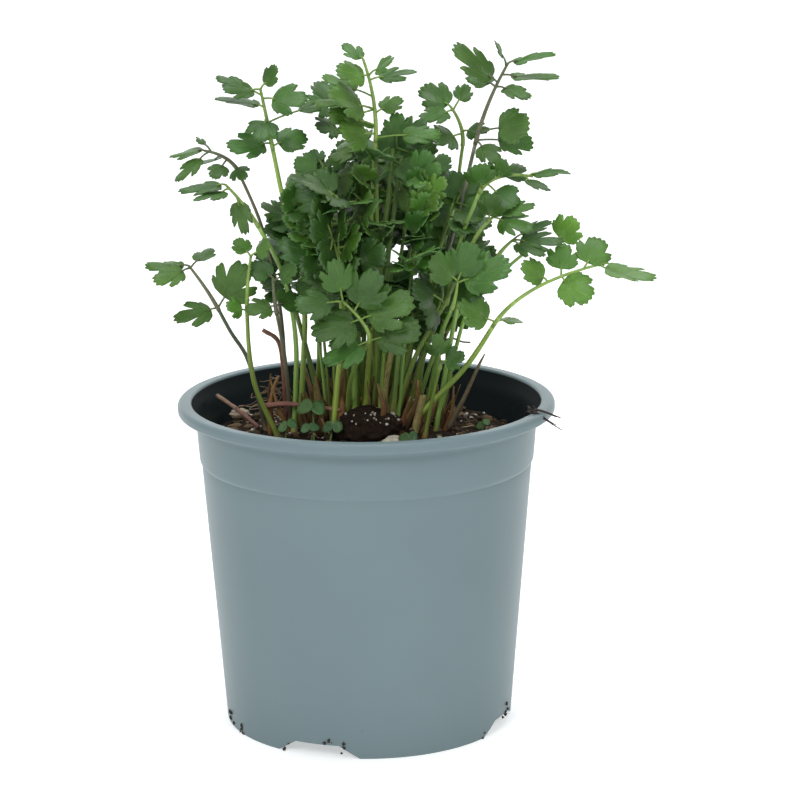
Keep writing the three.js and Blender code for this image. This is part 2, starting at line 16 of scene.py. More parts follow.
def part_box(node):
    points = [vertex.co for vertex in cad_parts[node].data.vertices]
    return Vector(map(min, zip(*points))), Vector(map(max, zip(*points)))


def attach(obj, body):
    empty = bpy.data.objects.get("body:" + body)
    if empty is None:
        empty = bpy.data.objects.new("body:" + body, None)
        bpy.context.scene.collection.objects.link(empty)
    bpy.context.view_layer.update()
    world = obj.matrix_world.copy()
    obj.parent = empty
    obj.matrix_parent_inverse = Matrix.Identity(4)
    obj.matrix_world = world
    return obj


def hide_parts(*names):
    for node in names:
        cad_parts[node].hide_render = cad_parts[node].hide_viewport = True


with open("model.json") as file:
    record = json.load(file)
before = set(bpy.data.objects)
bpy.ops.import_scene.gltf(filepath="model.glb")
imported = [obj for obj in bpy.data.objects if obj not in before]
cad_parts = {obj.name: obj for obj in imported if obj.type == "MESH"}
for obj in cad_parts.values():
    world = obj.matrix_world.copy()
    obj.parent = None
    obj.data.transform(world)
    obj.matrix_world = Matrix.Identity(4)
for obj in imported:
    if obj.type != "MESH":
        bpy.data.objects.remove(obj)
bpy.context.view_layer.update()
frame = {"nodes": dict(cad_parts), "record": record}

MM = 0.001
BODY = "root"
POT_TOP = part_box("pot")[1][2]
RECORD_SLOTS = {part["node"]: part["material_slot"] for part in frame["record"]["subparts"]}

# ---------- Driving dimensions ----------
POT_SIDES = 192
WALL = 1.0 * MM
RIM_INNER = 60.2 * MM
LIP_DEPTH = 3.6 * MM
COLLAR_TOP_RADIUS = 58.7 * MM
COLLAR_FOOT = 92.4 * MM
COLLAR_STEP = 0.7 * MM
FOOT_RADIUS = 49.9 * MM
STEP_RADIUS = 57.1 * MM
BASE_RAISE = 4.8 * MM
BASE_THICKNESS = 1.2 * MM
PAD_RADIUS = 16 * MM
NOTCH_TURN = radians(-21)
NOTCH_HEIGHT = 4.5 * MM
NOTCH_FOOT_WIDTH = 29.7 * MM
NOTCH_TOP_WIDTH = 15.7 * MM
SLOT_LENGTH = 14 * MM
SLOT_WIDTH = 3.4 * MM
SLOT_RADIUS = 44 * MM
COLLAR_ROUND = 3.2 * MM
LIP_ROUND = 0.8 * MM
RIM_ROUND = 1.5 * MM
RIM_INNER_ROUND = 0.9 * MM

SOIL_RINGS = 70
SOIL_SIDES = 200
CRUMB_COUNT = 1300
PERLITE_COUNT = 130
SPECK_COUNT = 60
STUB_COUNT = 110
ROOT_COUNT = 110
TUFT_COUNT = 34
RIM_STRAND_COUNT = 7
RIM_CRUMB_COUNT = 16

STALK_SIDES = 10
STALK_STEPS = 26
RACHIS_STEPS = 20
CAD_STALK_SIDES = 6
BLADE_THICKNESS = 0.28 * MM
CAD_BLADE_THICKNESS = 0.8 * MM
CAD_HUB = 0.6  # where the CAD leaflet's outline fans out from, as a share of its blade
TWIG_RADIUS = 0.34 * MM
FAN = radians(84)  # half the angle that a leaflet spreads about its root

CAMERA_LENS = 135.5
CAMERA_PLACE = (-0.0002, -1.0095, 0.3586)
CAMERA_YAW, CAMERA_PITCH, CAMERA_ROLL = 0.0117, -0.239, -0.007

# Linear colours
POT_GREY = (0.161, 0.219, 0.232)
POT_INSIDE = (0.011, 0.018, 0.020)
GREENS = {
    "leaf_green": (0.040, 0.112, 0.011),
    "leaf_light": (0.095, 0.220, 0.022),
}
STALK_COLOURS = {
    "green_stalk": (0.30, 0.44, 0.10),
    "purple_stalk": (0.16, 0.13, 0.10),
}

# How far each leaf's green goes from the common one towards the light one; bush leaves get painted shade,
# a darker green that stands in for the shade inside the dense bush
LIGHT_SHARES = {
    "leaf_right_long": 0.75, "leaf_right_round": 1.0, "leaf_top_centre": 0.3, "leaf_left_inner": 0.35,
    "leaf_left_low": 0.25, "leaf_top_right": 0.15,
}


# ---------- Meshes ----------
class Skin:
    """Collects vertices, faces, a colour and two map coordinates per vertex for one mesh."""

    def __init__(self):
        self.points = []
        self.faces = []
        self.colours = []
        self.coords = []

    def add(self, point, colour=(1, 1, 1), coord=(0, 0)):
        self.points.append(Vector(point))
        self.colours.append((*colour, 1.0))
        self.coords.append(coord)
        return len(self.points) - 1

    def mesh(self, name):
        mesh = bpy.data.meshes.new(name)
        mesh.from_pydata([tuple(point) for point in self.points], [], self.faces)
        tint = mesh.color_attributes.new("tint", "FLOAT_COLOR", "POINT")
        tint.data.foreach_set("color", [value for colour in self.colours for value in colour])
        layer = mesh.uv_layers.new(name="UVMap")
        corners = [self.coords[loop.vertex_index] for loop in mesh.loops]
        layer.data.foreach_set("uv", [value for corner in corners for value in corner])
        mesh.polygons.foreach_set("use_smooth", [True] * len(mesh.polygons))
        mesh.validate()
        mesh.update()
        return mesh


def placed(name, data):
    made = bpy.data.objects.new(name, data)
    bpy.context.scene.collection.objects.link(made)
    return made


def piece(name, skin, material, slot, *nodes):
    """A skin as a piece of the object, riding on the one body, in place of the named CAD nodes."""
    made = placed(name, skin.mesh(name))
    made.data.materials.append(material)
    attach(made, BODY)
    if nodes:
        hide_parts(*nodes)
    return made


def smooth_line(points, count):
    """Points at even parameter steps on a Catmull-Rom curve through the given ones."""
    ends = [points[0] * 2 - points[1], *points, points[-1] * 2 - points[-2]]
    line = []
    spans = len(points) - 1
    for k in range(count + 1):
        place = k / count * spans
        i = min(int(place), spans - 1)
        t = place - i
        a, b, c, d = ends[i:i + 4]
        curve = 2 * b + (c - a) * t + (2 * a - 5 * b + 4 * c - d) * t ** 2
        line.append((curve + (3 * b - a - 3 * c + d) * t ** 3) * 0.5)
    return line


def add_ring(skin, radius, height, sides):
    """A level ring of points about the pot's axis."""
    turns = (2 * pi * n / sides for n in range(sides))
    return [skin.add((radius * cos(turn), radius * sin(turn), height)) for turn in turns]


def join_rings(skin, rings, flip=False):
    """Faces between each ring and the next. A ring may be a single point."""
    for low, high in zip(rings, rings[1:]):
        sides = max(len(low), len(high))
        for n in range(sides):
            m = (n + 1) % sides
            if len(low) == 1:
                face = (low[0], high[m], high[n])
            elif len(high) == 1:
                face = (low[n], low[m], high[0])
            else:
                face = (low[n], low[m], high[m], high[n])
            skin.faces.append((face[0], *reversed(face[1:])) if flip else face)


def add_tube(skin, line, radii, sides, colours, flatten=1.0):
    """A closed tube along a line, with a radius and a colour at each of its points."""
    rings = []
    across = None
    for k, point in enumerate(line):
        ahead = (line[min(k + 1, len(line) - 1)] - line[max(k - 1, 0)]).normalized()
        if across is None:
            across = ahead.orthogonal().normalized()
        across = (across - ahead * across.dot(ahead)).normalized()
        up = ahead.cross(across)
        ring = []
        for n in range(sides):
            turn = 2 * pi * n / sides
            offset = across * cos(turn) + up * (sin(turn) * flatten)
            corner = point + offset * radii[k]
            ring.append(skin.add(corner, colours[k], (n / sides, k / (len(line) - 1))))
        rings.append(ring)
    join_rings(skin, rings)
    skin.faces.append(tuple(reversed(rings[0])))
    skin.faces.append(tuple(rings[-1]))


def shaken(rng, *sides):
    """A point or step given in mm: each side is a pair of limits to draw between, or a fixed number."""
    return Vector([rng.uniform(*side) if isinstance(side, tuple) else side for side in sides]) * MM


def mix(a, b, share):
    return tuple(x + (y - x) * share for x, y in zip(a, b))


def varied(rng, colour, amount):
    """The colour a little lighter or darker, and a little yellower or bluer."""
    light = 1 + rng.uniform(-amount, amount)
    warm = rng.uniform(-amount, amount) * 0.5
    return (colour[0] * light * (1 + warm), colour[1] * light, colour[2] * light * (1 - warm))


# ---------- Materials ----------
class Nodes:
    """A material with a Principled shader and short ways to add nodes to it."""

    def __init__(self, name):
        self.material = bpy.data.materials.new(name)
        self.material.use_nodes = True
        self.tree = self.material.node_tree
        self.shader = self.tree.nodes["Principled BSDF"]

    def add(self, kind, **settings):
        node = self.tree.nodes.new(kind)
        for key, value in settings.items():
            if key in node.inputs:
                node.inputs[key].default_value = value
            else:
                setattr(node, key, value)
        return node

    def link(self, output, socket):
        self.tree.links.new(output, socket)

    def set(self, **values):
        for key, value in values.items():
            self.shader.inputs[key.replace("_", " ")].default_value = value

    def noise(self, scale, detail=4, roughness=0.55):
        texture = self.add("ShaderNodeTexNoise", Scale=scale, Detail=detail, Roughness=roughness)
        self.link(self.add("ShaderNodeTexCoord").outputs["Object"], texture.inputs["Vector"])
        return texture.outputs["Fac"]

    def ramp(self, value, *stops):
        node = self.add("ShaderNodeValToRGB")
        elements = node.color_ramp.elements
        while len(elements) < len(stops):
            elements.new(0.5)
        for element, (place, colour) in zip(elements, stops):
            element.position = place
            element.color = (*colour, 1)
        self.link(value, node.inputs["Fac"])
        return node.outputs["Color"]

    def blend(self, share, low, high, kind="MIX"):
        node = self.add("ShaderNodeMix", data_type="RGBA", blend_type=kind)
        for socket, value in ((node.inputs[0], share), (node.inputs[6], low), (node.inputs[7], high)):
            if isinstance(value, bpy.types.NodeSocket):
                self.link(value, socket)
            else:
                socket.default_value = value if isinstance(value, float) else (*value, 1)
        return node.outputs[2]

    def math(self, kind, *values):
        node = self.add("ShaderNodeMath", operation=kind)
        for socket, value in zip(node.inputs, values):
            if isinstance(value, bpy.types.NodeSocket):
                self.link(value, socket)
            else:
                socket.default_value = value
        return node.outputs[0]

    def times(self, *values):
        return self.math("MULTIPLY", *values)

    def bump(self, height, strength, distance):
        node = self.add("ShaderNodeBump", Strength=strength, Distance=distance)
        self.link(height, node.inputs["Height"])
        self.link(node.outputs["Normal"], self.shader.inputs["Normal"])

    def tinted(self, shade):
        """The mesh's own tint, darkened or lightened by a shade."""
        tint = self.add("ShaderNodeVertexColor", layer_name="tint").outputs["Color"]
        return self.blend(1.0, tint, shade, "MULTIPLY")

    def drive(self, socket, output):
        self.link(output, self.shader.inputs[socket])


def pot_material():
    nodes = Nodes("pot_plastic")
    nodes.set(IOR=1.42, Specular_IOR_Level=0.22)
    patches = nodes.noise(22, 3)
    grain = nodes.noise(900, 2)
    shade = nodes.ramp(patches, (0.3, (0.94, 0.94, 0.95)), (0.7, (1.0, 1.0, 1.0)))
    colour = nodes.tinted(shade)
    specks = nodes.ramp(nodes.noise(260, 2, 0.5), (0.72, (0, 0, 0)), (0.76, (1, 1, 1)))
    height = nodes.add("ShaderNodeSeparateXYZ")
    nodes.link(nodes.add("ShaderNodeTexCoord").outputs["Object"], height.inputs[0])
    low = nodes.add("ShaderNodeMapRange", interpolation_type="SMOOTHSTEP")
    low.inputs["From Min"].default_value = 0.016
    low.inputs["From Max"].default_value = 0.0
    nodes.link(height.outputs["Z"], low.inputs["Value"])
    dirt = nodes.times(nodes.times(specks, low.outputs[0]), 0.55)
    nodes.drive("Base Color", nodes.blend(dirt, colour, (0.07, 0.05, 0.035)))
    nodes.drive("Roughness", nodes.math("ADD", nodes.times(patches, 0.12), 0.32))
    nodes.bump(nodes.math("ADD", grain, nodes.times(patches, 3.0)), 0.12, 0.0001)
    return nodes.material


def soil_material():
    nodes = Nodes("peat_soil")
    nodes.set(Roughness=0.95, Specular_IOR_Level=0.2)
    grit = nodes.noise(700, 6, 0.7)
    patch = nodes.noise(90, 4)
    stops = ((0.3, (0.008, 0.005, 0.003)), (0.55, (0.032, 0.019, 0.011)), (0.78, (0.10, 0.062, 0.033)))
    dark = nodes.ramp(grit, *stops)
    colour = nodes.blend(nodes.times(patch, 0.6), dark, (0.022, 0.014, 0.010))
    nodes.drive("Base Color", nodes.tinted(colour))
    nodes.bump(grit, 0.9, 0.0007)
    return nodes.material


def grain_material(name, roughness, scale, strength):
    """Matte bits coloured by their own tint, with a fine grain."""
    nodes = Nodes(name)
    nodes.set(Roughness=roughness)
    grain = nodes.noise(scale, 4, 0.65)
    shade = nodes.ramp(grain, (0.3, (0.7, 0.68, 0.66)), (0.7, (1.1, 1.1, 1.1)))
    nodes.drive("Base Color", nodes.tinted(shade))
    nodes.bump(grain, strength, 0.0003)
    return nodes.material


def stalk_material():
    nodes = Nodes("stalk_skin")
    nodes.set(Roughness=0.42, Subsurface_Weight=0.12, Subsurface_Scale=0.002)
    nodes.set(Subsurface_Radius=(0.6, 1.0, 0.3))
    streak = nodes.add("ShaderNodeTexNoise", Scale=1.0, Detail=3)
    stretch = nodes.add("ShaderNodeMapping")
    stretch.inputs["Scale"].default_value = (14, 2.2, 1)
    nodes.link(nodes.add("ShaderNodeTexCoord").outputs["UV"], stretch.inputs["Vector"])
    nodes.link(stretch.outputs[0], streak.inputs["Vector"])
    shade = nodes.ramp(streak.outputs["Fac"], (0.3, (0.72, 0.72, 0.66)), (0.7, (1.12, 1.12, 1.1)))
    nodes.drive("Base Color", nodes.tinted(shade))
    nodes.bump(streak.outputs["Fac"], 0.35, 0.0002)
    return nodes.material


def leaf_material():
    """Veins fan out from each leaflet's root: map x is the way out to the edge, map y the angle."""
    nodes = Nodes("leaf_skin")
    nodes.set(Subsurface_Weight=0.1, Subsurface_Scale=0.0015, Subsurface_Radius=(0.5, 1.0, 0.2))
    coords = nodes.add("ShaderNodeSeparateXYZ")
    nodes.link(nodes.add("ShaderNodeTexCoord").outputs["UV"], coords.inputs[0])
    out, angle = coords.outputs["X"], coords.outputs["Y"]
    centred = nodes.math("SUBTRACT", angle, 0.5)
    near = nodes.math("PINGPONG", centred, 0.1)
    width = nodes.math("DIVIDE", 0.008, nodes.math("ADD", out, 0.12))
    main = nodes.math("SUBTRACT", 1.0, nodes.math("DIVIDE", near, width))
    main = nodes.math("MAXIMUM", main, 0.0)
    slanted = nodes.math("ADD", nodes.times(out, 7.0), nodes.times(near, -38.0))
    side = nodes.math("PINGPONG", slanted, 0.5)
    side = nodes.math("MAXIMUM", nodes.math("SUBTRACT", 1.0, nodes.times(side, 7.0)), 0.0)
    veins = nodes.math("MAXIMUM", main, nodes.times(side, 0.45))
    cells = nodes.noise(1500, 3)
    patch = nodes.noise(130, 3)
    shade = nodes.ramp(patch, (0.3, (0.78, 0.8, 0.75)), (0.7, (1.18, 1.15, 1.1)))
    colour = nodes.tinted(shade)
    paler = nodes.blend(1.0, colour, (1.9, 1.7, 1.9), "MULTIPLY")
    nodes.drive("Base Color", nodes.blend(nodes.times(veins, 0.55), colour, paler))
    nodes.drive("Roughness", nodes.math("ADD", nodes.times(cells, 0.2), 0.34))
    height = nodes.math("SUBTRACT", nodes.times(cells, 0.35), veins)
    nodes.bump(height, 0.5, 0.00025)
    return nodes.material


# ---------- Reading the CAD plant ----------
def merged(node):
    """The CAD node as a bmesh with one vertex at each corner."""
    bm = bmesh.new()
    bm.from_mesh(frame["nodes"][node].data)
    bmesh.ops.remove_doubles(bm, verts=bm.verts, dist=1e-6)
    return bm


def middle(points):
    return sum(points, Vector()) / len(points)


def stalk_line(node):
    """The middle line of a CAD stalk, from the soil up, and its radius at each ring."""
    bm = merged(node)
    points = sorted((vert.co.copy() for vert in bm.verts), key=lambda point: point.z)
    bm.free()
    axis = middle(points[-CAD_STALK_SIDES:]) - middle(points[:CAD_STALK_SIDES])
    points.sort(key=lambda point: point.dot(axis))
    rings = [points[i:i + CAD_STALK_SIDES] for i in range(0, len(points), CAD_STALK_SIDES)]
    line = [middle(ring) for ring in rings]
    radii = [max((point - centre).length for point in ring) for ring, centre in zip(rings, line)]
    return line, radii


class Leaflet:
    """One leaflet of a CAD leaf: its fork on the rachis, its blade's root, axes and sizes."""

    def __init__(self, hub, under):
        ring = [edge.other_vert(hub).co for edge in hub.link_edges]
        up = (hub.co - under.co).normalized()
        if (hub.co - middle(ring)).dot(up) < 0:
            up.negate()
        reach = max((point - hub.co).length for point in ring)
        near_fork = [point for point in ring if (point - hub.co).length > 0.93 * reach]
        self.fork = middle(near_fork) - up * CAD_BLADE_THICKNESS / 2
        along = hub.co - middle(near_fork)
        self.along = (along - up * along.dot(up)).normalized()
        self.up = up
        self.side = up.cross(self.along)
        self.hub = hub.co - up * CAD_BLADE_THICKNESS / 2
        tip = max((point - hub.co).dot(self.along) for point in ring)
        self.length = tip / (1 - CAD_HUB)
        self.root = self.hub - self.along * self.length * CAD_HUB
        half = max(abs((point - hub.co).dot(self.side)) for point in ring)
        self.wide = 2 * half / self.length


def leaflets_of(node):
    """Every leaflet of a CAD leaf. A leaflet's outline fans out from two hubs, over each other."""
    bm = merged(node)
    hubs = [vert for vert in bm.verts if len(vert.link_edges) >= 10]
    found = []
    used = set()
    for hub in hubs:
        if hub in used:
            continue
        for other in hubs:
            gap = (other.co - hub.co).length
            if other is not hub and abs(gap - CAD_BLADE_THICKNESS) < 0.02 * MM:
                used.update((hub, other))
                ring = [edge.other_vert(hub).co for edge in hub.link_edges]
                domed = (hub.co - middle(ring)).dot(hub.co - other.co) > 0
                found.append(Leaflet(hub, other) if domed else Leaflet(other, hub))
                break
    bm.free()
    return found


# ---------- Fine leaflets ----------
EDGE_STEPS = 84
OUT_STEPS = (0.0, 0.45, 0.8, 1.0)


def leaflet_edge(turn, depth, teeth, lean):
    """How far the lobed, scalloped edge is from the root at this angle, as a share of the length."""
    oval = cos(0.96 * turn) ** 0.7
    cut = radians(27 + lean)
    sinus = depth * exp(-(abs(abs(turn) - cut) / radians(5)) ** 1.2)
    sinus += 0.6 * depth * exp(-(abs(abs(turn) - 2.1 * cut) / radians(5)) ** 1.2)
    scallop = 1 - abs(cos(pi * turn / radians(teeth)))
    return oval * (1 - sinus) * (1 - 0.075 * scallop)


def add_leaflet(skin, rng, root, along, side, up, length, wide, colour, steps=EDGE_STEPS):
    """A closed thin blade: a fan of points from the root out to the edge, above and below."""
    depth = rng.uniform(0.2, 0.42) + 0.25 * max(0.0, 0.8 - wide) + (0.1 if length > 13 * MM else 0)
    teeth = rng.uniform(9.5, 12)
    lean = rng.uniform(-4, 4)
    droop = rng.uniform(0.04, 0.22)
    fold = rng.uniform(-0.05, 0.2)
    ripple = rng.uniform(0.015, 0.045)
    phase = rng.uniform(0, 6.28)
    edges = []
    for k in range(steps + 1):
        turn = FAN * (2 * k / steps - 1)
        edges.append((turn, leaflet_edge(turn, depth, teeth, lean)))
    sheets = []
    for below in (False, True):
        sheet = []
        for out in OUT_STEPS:
            row = []
            for turn, reach in edges:
                x = out * reach * cos(turn)
                y = out * reach * sin(turn) * wide
                z = -droop * x * x - fold * y * y * 2
                z += ripple * out * out * cos(5.2 * turn + phase)
                z -= 0.02 * cos(pi * turn / radians(29)) * out * (1 - out)
                lift = z * length - (BLADE_THICKNESS if below else 0)
                point = root + along * x * length + side * y * length + up * lift
                shade = mix(colour, (0.16, 0.24, 0.14), 0.3) if below else colour
                row.append(skin.add(point, shade, (out, 0.5 + 0.5 * turn / FAN)))
                if out == 0.0:
                    break
            sheet.append(row)
        sheets.append(sheet)
    for sheet, flip in zip(sheets, (False, True)):
        for low, high in zip(sheet, sheet[1:]):
            for k in range(steps):
                near = (low[0],) if len(low) == 1 else (low[k + 1], low[k])
                face = (high[k], high[k + 1], *near)
                skin.faces.append(tuple(reversed(face)) if flip else face)
    top, bottom = sheets[0], sheets[1]
    for k in range(steps):
        skin.faces.append((top[-1][k + 1], top[-1][k], bottom[-1][k], bottom[-1][k + 1]))
    for sign in (0, -1):
        for low, high in zip(range(len(OUT_STEPS) - 1), range(1, len(OUT_STEPS))):
            corners = [top[low][sign], top[high][sign], bottom[high][sign], bottom[low][sign]]
            skin.faces.append(tuple(corners if sign == 0 else reversed(corners)))


def add_twig(skin, start, end, bow, colour, radius=TWIG_RADIUS):
    line = smooth_line([start, start.lerp(end, 0.5) + bow, end], 5)
    add_tube(skin, line, [radius * (1.15 - 0.25 * k / 5) for k in range(6)], 6, [colour] * 6)


def add_sprig(skin, rng, leaflet, colour, twig_colour):
    """A leaflet of the bushy middle: an end blade and two smaller ones on a forked twig."""
    plans = ((0.0, 0.92, 1.0), (1.0, 0.72, 0.35), (-1.0, 0.72, 0.25))
    for sideways, size, start in plans:
        turn = Matrix.Rotation(sideways * rng.uniform(0.7, 1.1), 3, leaflet.up)
        tip_up = Matrix.Rotation(rng.uniform(-0.3, 0.3), 3, leaflet.side)
        roll = Matrix.Rotation(rng.uniform(-0.35, 0.35), 3, leaflet.along)
        basis = turn @ tip_up @ roll
        base = leaflet.fork.lerp(leaflet.root, start)
        along = basis @ leaflet.along
        root = base + along * leaflet.length * (0.05 if sideways == 0 else 0.3)
        shade = varied(rng, colour, 0.22)
        add_leaflet(skin, rng, root, along, basis @ leaflet.side, basis @ leaflet.up,
                    leaflet.length * size, leaflet.wide, shade)
        if sideways != 0:
            add_twig(skin, base, root + along * leaflet.length * 0.1, leaflet.up * 0.3 * MM, twig_colour)


def rachis_line(stalk_tip, forks):
    """A smooth arched rachis: it carries on the stalk's line and passes close to the forks."""
    end = stalk_tip[-1]
    reach = max((fork - end).length for fork in forks)
    heading = (end - stalk_tip[0]).normalized()
    shares = [(fork - end).length / reach for fork in forks]
    first, second = heading * reach, Vector()
    weights = [1.0] * len(forks)
    for _ in range(12):
        top = sum(weight * share ** 4 for weight, share in zip(weights, shares))
        rest = Vector()
        for weight, share, fork in zip(weights, shares, forks):
            rest += (fork - end - first * share) * weight * share ** 2
        second = rest / top
        steer = Vector()
        for weight, share, fork in zip(weights, shares, forks):
            steer += (fork - end - second * share ** 2) * weight * share
        pull = sum(weight * share ** 2 for weight, share in zip(weights, shares))
        first = (steer + heading * reach * 0.6) / (pull + 0.6)
        for i, (share, fork) in enumerate(zip(shares, forks)):
            miss = (end + first * share + second * share ** 2 - fork).length
            weights[i] = 1 / (1 + (miss / (1.5 * MM)) ** 2)
    places = [k / RACHIS_STEPS for k in range(RACHIS_STEPS + 1)]
    return [end + first * place + second * place ** 2 for place in places]


# ---------- The plant ----------
def stalk_piece(node, rng, material):
    """A grooved stalk, pale above and brown and sheathed where it leaves the soil."""
    line, radii = stalk_line(node)
    fine = smooth_line(line, STALK_STEPS)
    root = fine[0] - (fine[1] - fine[0]).normalized() * 4 * MM
    fine = [root, *fine]
    base_colour = varied(rng, STALK_COLOURS[RECORD_SLOTS[node]], 0.3)
    top_colour = mix(base_colour, GREENS["leaf_light"], 0.25)
    sheath = mix((0.22, 0.11, 0.04), (0.42, 0.36, 0.15), rng.random())
    reach = rng.uniform(0.06, 0.16)
    shades = []
    sizes = []
    for k in range(len(fine)):
        share = k / (len(fine) - 1)
        colour = mix(base_colour, top_colour, share)
        dry = max(0.0, 1 - share / reach)
        colour = mix(colour, varied(rng, sheath, 0.15), min(1.0, dry * 1.2))
        shades.append(colour)
        sizes.append(radii[0] * (1.02 - 0.32 * share) * (1 + 0.6 * dry ** 1.5) * rng.uniform(0.97, 1.03))
    skin = Skin()
    add_tube(skin, fine, sizes, STALK_SIDES, shades, 0.85)
    piece(node + "_fine", skin, material, RECORD_SLOTS[node], node)
    return fine[-3:]


def leaf_piece(node, stalk_tip, rng, material):
    """A whole compound leaf: its rachis, twigs and toothed leaflets."""
    green = mix(GREENS["leaf_green"], GREENS["leaf_light"], LIGHT_SHARES.get(node, 0.0))
    bushy = "bush" in node
    # Painted shade: leaves of the dense bushy middle are mixed towards a darker green, in place of the
    # shade that falls inside the bush
    if bushy:
        green = mix(green, (0.02, 0.07, 0.008), 0.35)
    stalk_colour = STALK_COLOURS[RECORD_SLOTS[node.replace("leaf_", "stalk_")]]
    twig_colour = mix(green, stalk_colour, 0.45)
    skin = Skin()
    found = leaflets_of(node)
    line = rachis_line(stalk_tip, [leaf.fork for leaf in found])
    steps = range(RACHIS_STEPS + 1)
    radii = [(0.8 - 0.35 * k / RACHIS_STEPS) * MM for k in steps]
    shades = [mix(stalk_colour, twig_colour, 0.4 + 0.6 * k / RACHIS_STEPS) for k in steps]
    add_tube(skin, line, radii, 8, shades)
    for leaf in found:
        shade = varied(rng, green, 0.2)
        if bushy:
            add_sprig(skin, rng, leaf, shade, twig_colour)
        else:
            add_leaflet(skin, rng, leaf.root, leaf.along, leaf.side, leaf.up, leaf.length * 1.06,
                        leaf.wide * 1.12, shade)
        fork = min(line, key=lambda point: (point - leaf.fork).length)
        add_twig(skin, fork, leaf.root + leaf.along * leaf.length * 0.12, leaf.up * 0.4 * MM, twig_colour)
    piece(node + "_fine", skin, material, RECORD_SLOTS[node], node)


def make_plant(skin, leaf_skin):
    stalks = sorted(node for node in frame["nodes"] if node.startswith("stalk_"))
    for index, node in enumerate(stalks):
        rng = random.Random(100 + index)
        end = stalk_piece(node, rng, skin)
        leaf_piece(node.replace("stalk_", "leaf_"), end, rng, leaf_skin)


# The clump's own small leaves, between the big ones
CLUMP_MIDDLE = Vector((1, 5, 0)) * MM
CLUMP_REACH = Vector((23, 14, 0)) * MM
YOUNG_COUNT = 44
YOUNG_STEPS = 60
YOUNG_MIDDLE = Vector((5, 5, 168)) * MM
YOUNG_REACH = Vector((36, 28, 32)) * MM


class Sprout:
    """A leaflet's place and axes, in the form that add_sprig takes."""

    def __init__(self, fork, along, facing, length):
        self.fork = fork
        self.along = along.normalized()
        self.up = (facing - self.along * facing.dot(self.along)).normalized()
        self.side = self.up.cross(self.along)
        self.length = length
        self.wide = 1.05
        self.root = fork + self.along * length * 0.3


def make_young_leaves(tree, stalk_skin, leaf_skin):
    """Thinner stalks that crowd the clump, each with a small leaf inside the bush."""
    rng = random.Random(61)
    stalks, left, right = Skin(), Skin(), Skin()
    golden = pi * (3 - sqrt(5))
    for k in range(YOUNG_COUNT):
        rise = 1 - 2 * (k + 0.5) / YOUNG_COUNT
        out = sqrt(1 - rise * rise) * rng.uniform(0.35, 1.0)
        turn = golden * k + rng.uniform(-0.4, 0.4)
        heading = Vector((cos(turn), sin(turn), 0))
        foot = CLUMP_MIDDLE + Vector((heading.x * CLUMP_REACH.x, heading.y * CLUMP_REACH.y, 0)) * (
            out * rng.uniform(0.6, 1.0))
        foot += shaken(rng, (-4, 4), (-4, 4), 0)
        foot.z = level(tree, foot.x, foot.y) - 3 * MM
        end = YOUNG_MIDDLE + Vector((heading.x * YOUNG_REACH.x * out, heading.y * YOUNG_REACH.y * out,
                                     rise * YOUNG_REACH.z))
        leaves = left if end.x < YOUNG_MIDDLE.x else right
        bend = foot.lerp(end, 0.5) - heading * rng.uniform(0, 3) * MM
        line = smooth_line([foot, bend, end], 20)
        colour = varied(rng, STALK_COLOURS["green_stalk"], 0.45)
        green = varied(rng, mix(GREENS["leaf_green"], GREENS["leaf_light"], rng.random() * 0.25), 0.25)
        twig = mix(green, STALK_COLOURS["green_stalk"], 0.25)
        width = rng.uniform(0.5, 1.3) * MM
        sheath = mix((0.24, 0.12, 0.04), (0.40, 0.38, 0.14), rng.random())
        sizes, shades = [], []
        for n in range(21):
            dry = max(0.0, 1 - n / rng.uniform(2.5, 4.5))
            sizes.append(width * (1.05 - 0.4 * n / 20) * (1 + 0.3 * dry))
            shades.append(mix(mix(colour, twig, n / 20), sheath, dry))
        add_tube(stalks, line, sizes, 8, shades, 0.8)
        facing = Vector((heading.x * 0.3, -0.75 + rng.uniform(-0.3, 0.3), rng.uniform(0.45, 1.0)))
        ahead = (heading + Vector((0, 0, rng.uniform(0.1, 0.9)))).normalized()
        size = rng.uniform(8, 11.5) * MM
        add_sprig(leaves, rng, Sprout(end, ahead, facing, size), green, twig)
        for pair in range(1, 3):
            fork = line[-1 - pair].lerp(line[-pair], rng.random())
            for sign in (-1, 1):
                along = Matrix.Rotation(sign * rng.uniform(0.9, 1.4), 3, facing.normalized()) @ ahead
                sprout = Sprout(fork, along, facing, size * rng.uniform(0.75, 1.0))
                shade = varied(rng, green, 0.2)
                add_leaflet(leaves, rng, sprout.root, sprout.along, sprout.side, sprout.up, sprout.length,
                            1.0, shade, YOUNG_STEPS)
                add_twig(leaves, fork, sprout.root + sprout.along * 0.1 * size, sprout.up * 0.2 * MM, twig)
    piece("young_stalks", stalks, stalk_skin, "green_stalk")
    piece("young_leaves_left", left, leaf_skin, "leaf_green")
    piece("young_leaves_right", right, leaf_skin, "leaf_green")


# ---------- Pot ----------
def arc(centre, radius, start, stop, steps):
    """Points on a round stretch of a profile, angles in degrees."""
    points = []
    for k in range(steps + 1):
        turn = radians(start + (stop - start) * k / steps)
        points.append((centre[0] + radius * cos(turn), centre[1] + radius * sin(turn)))
    return points


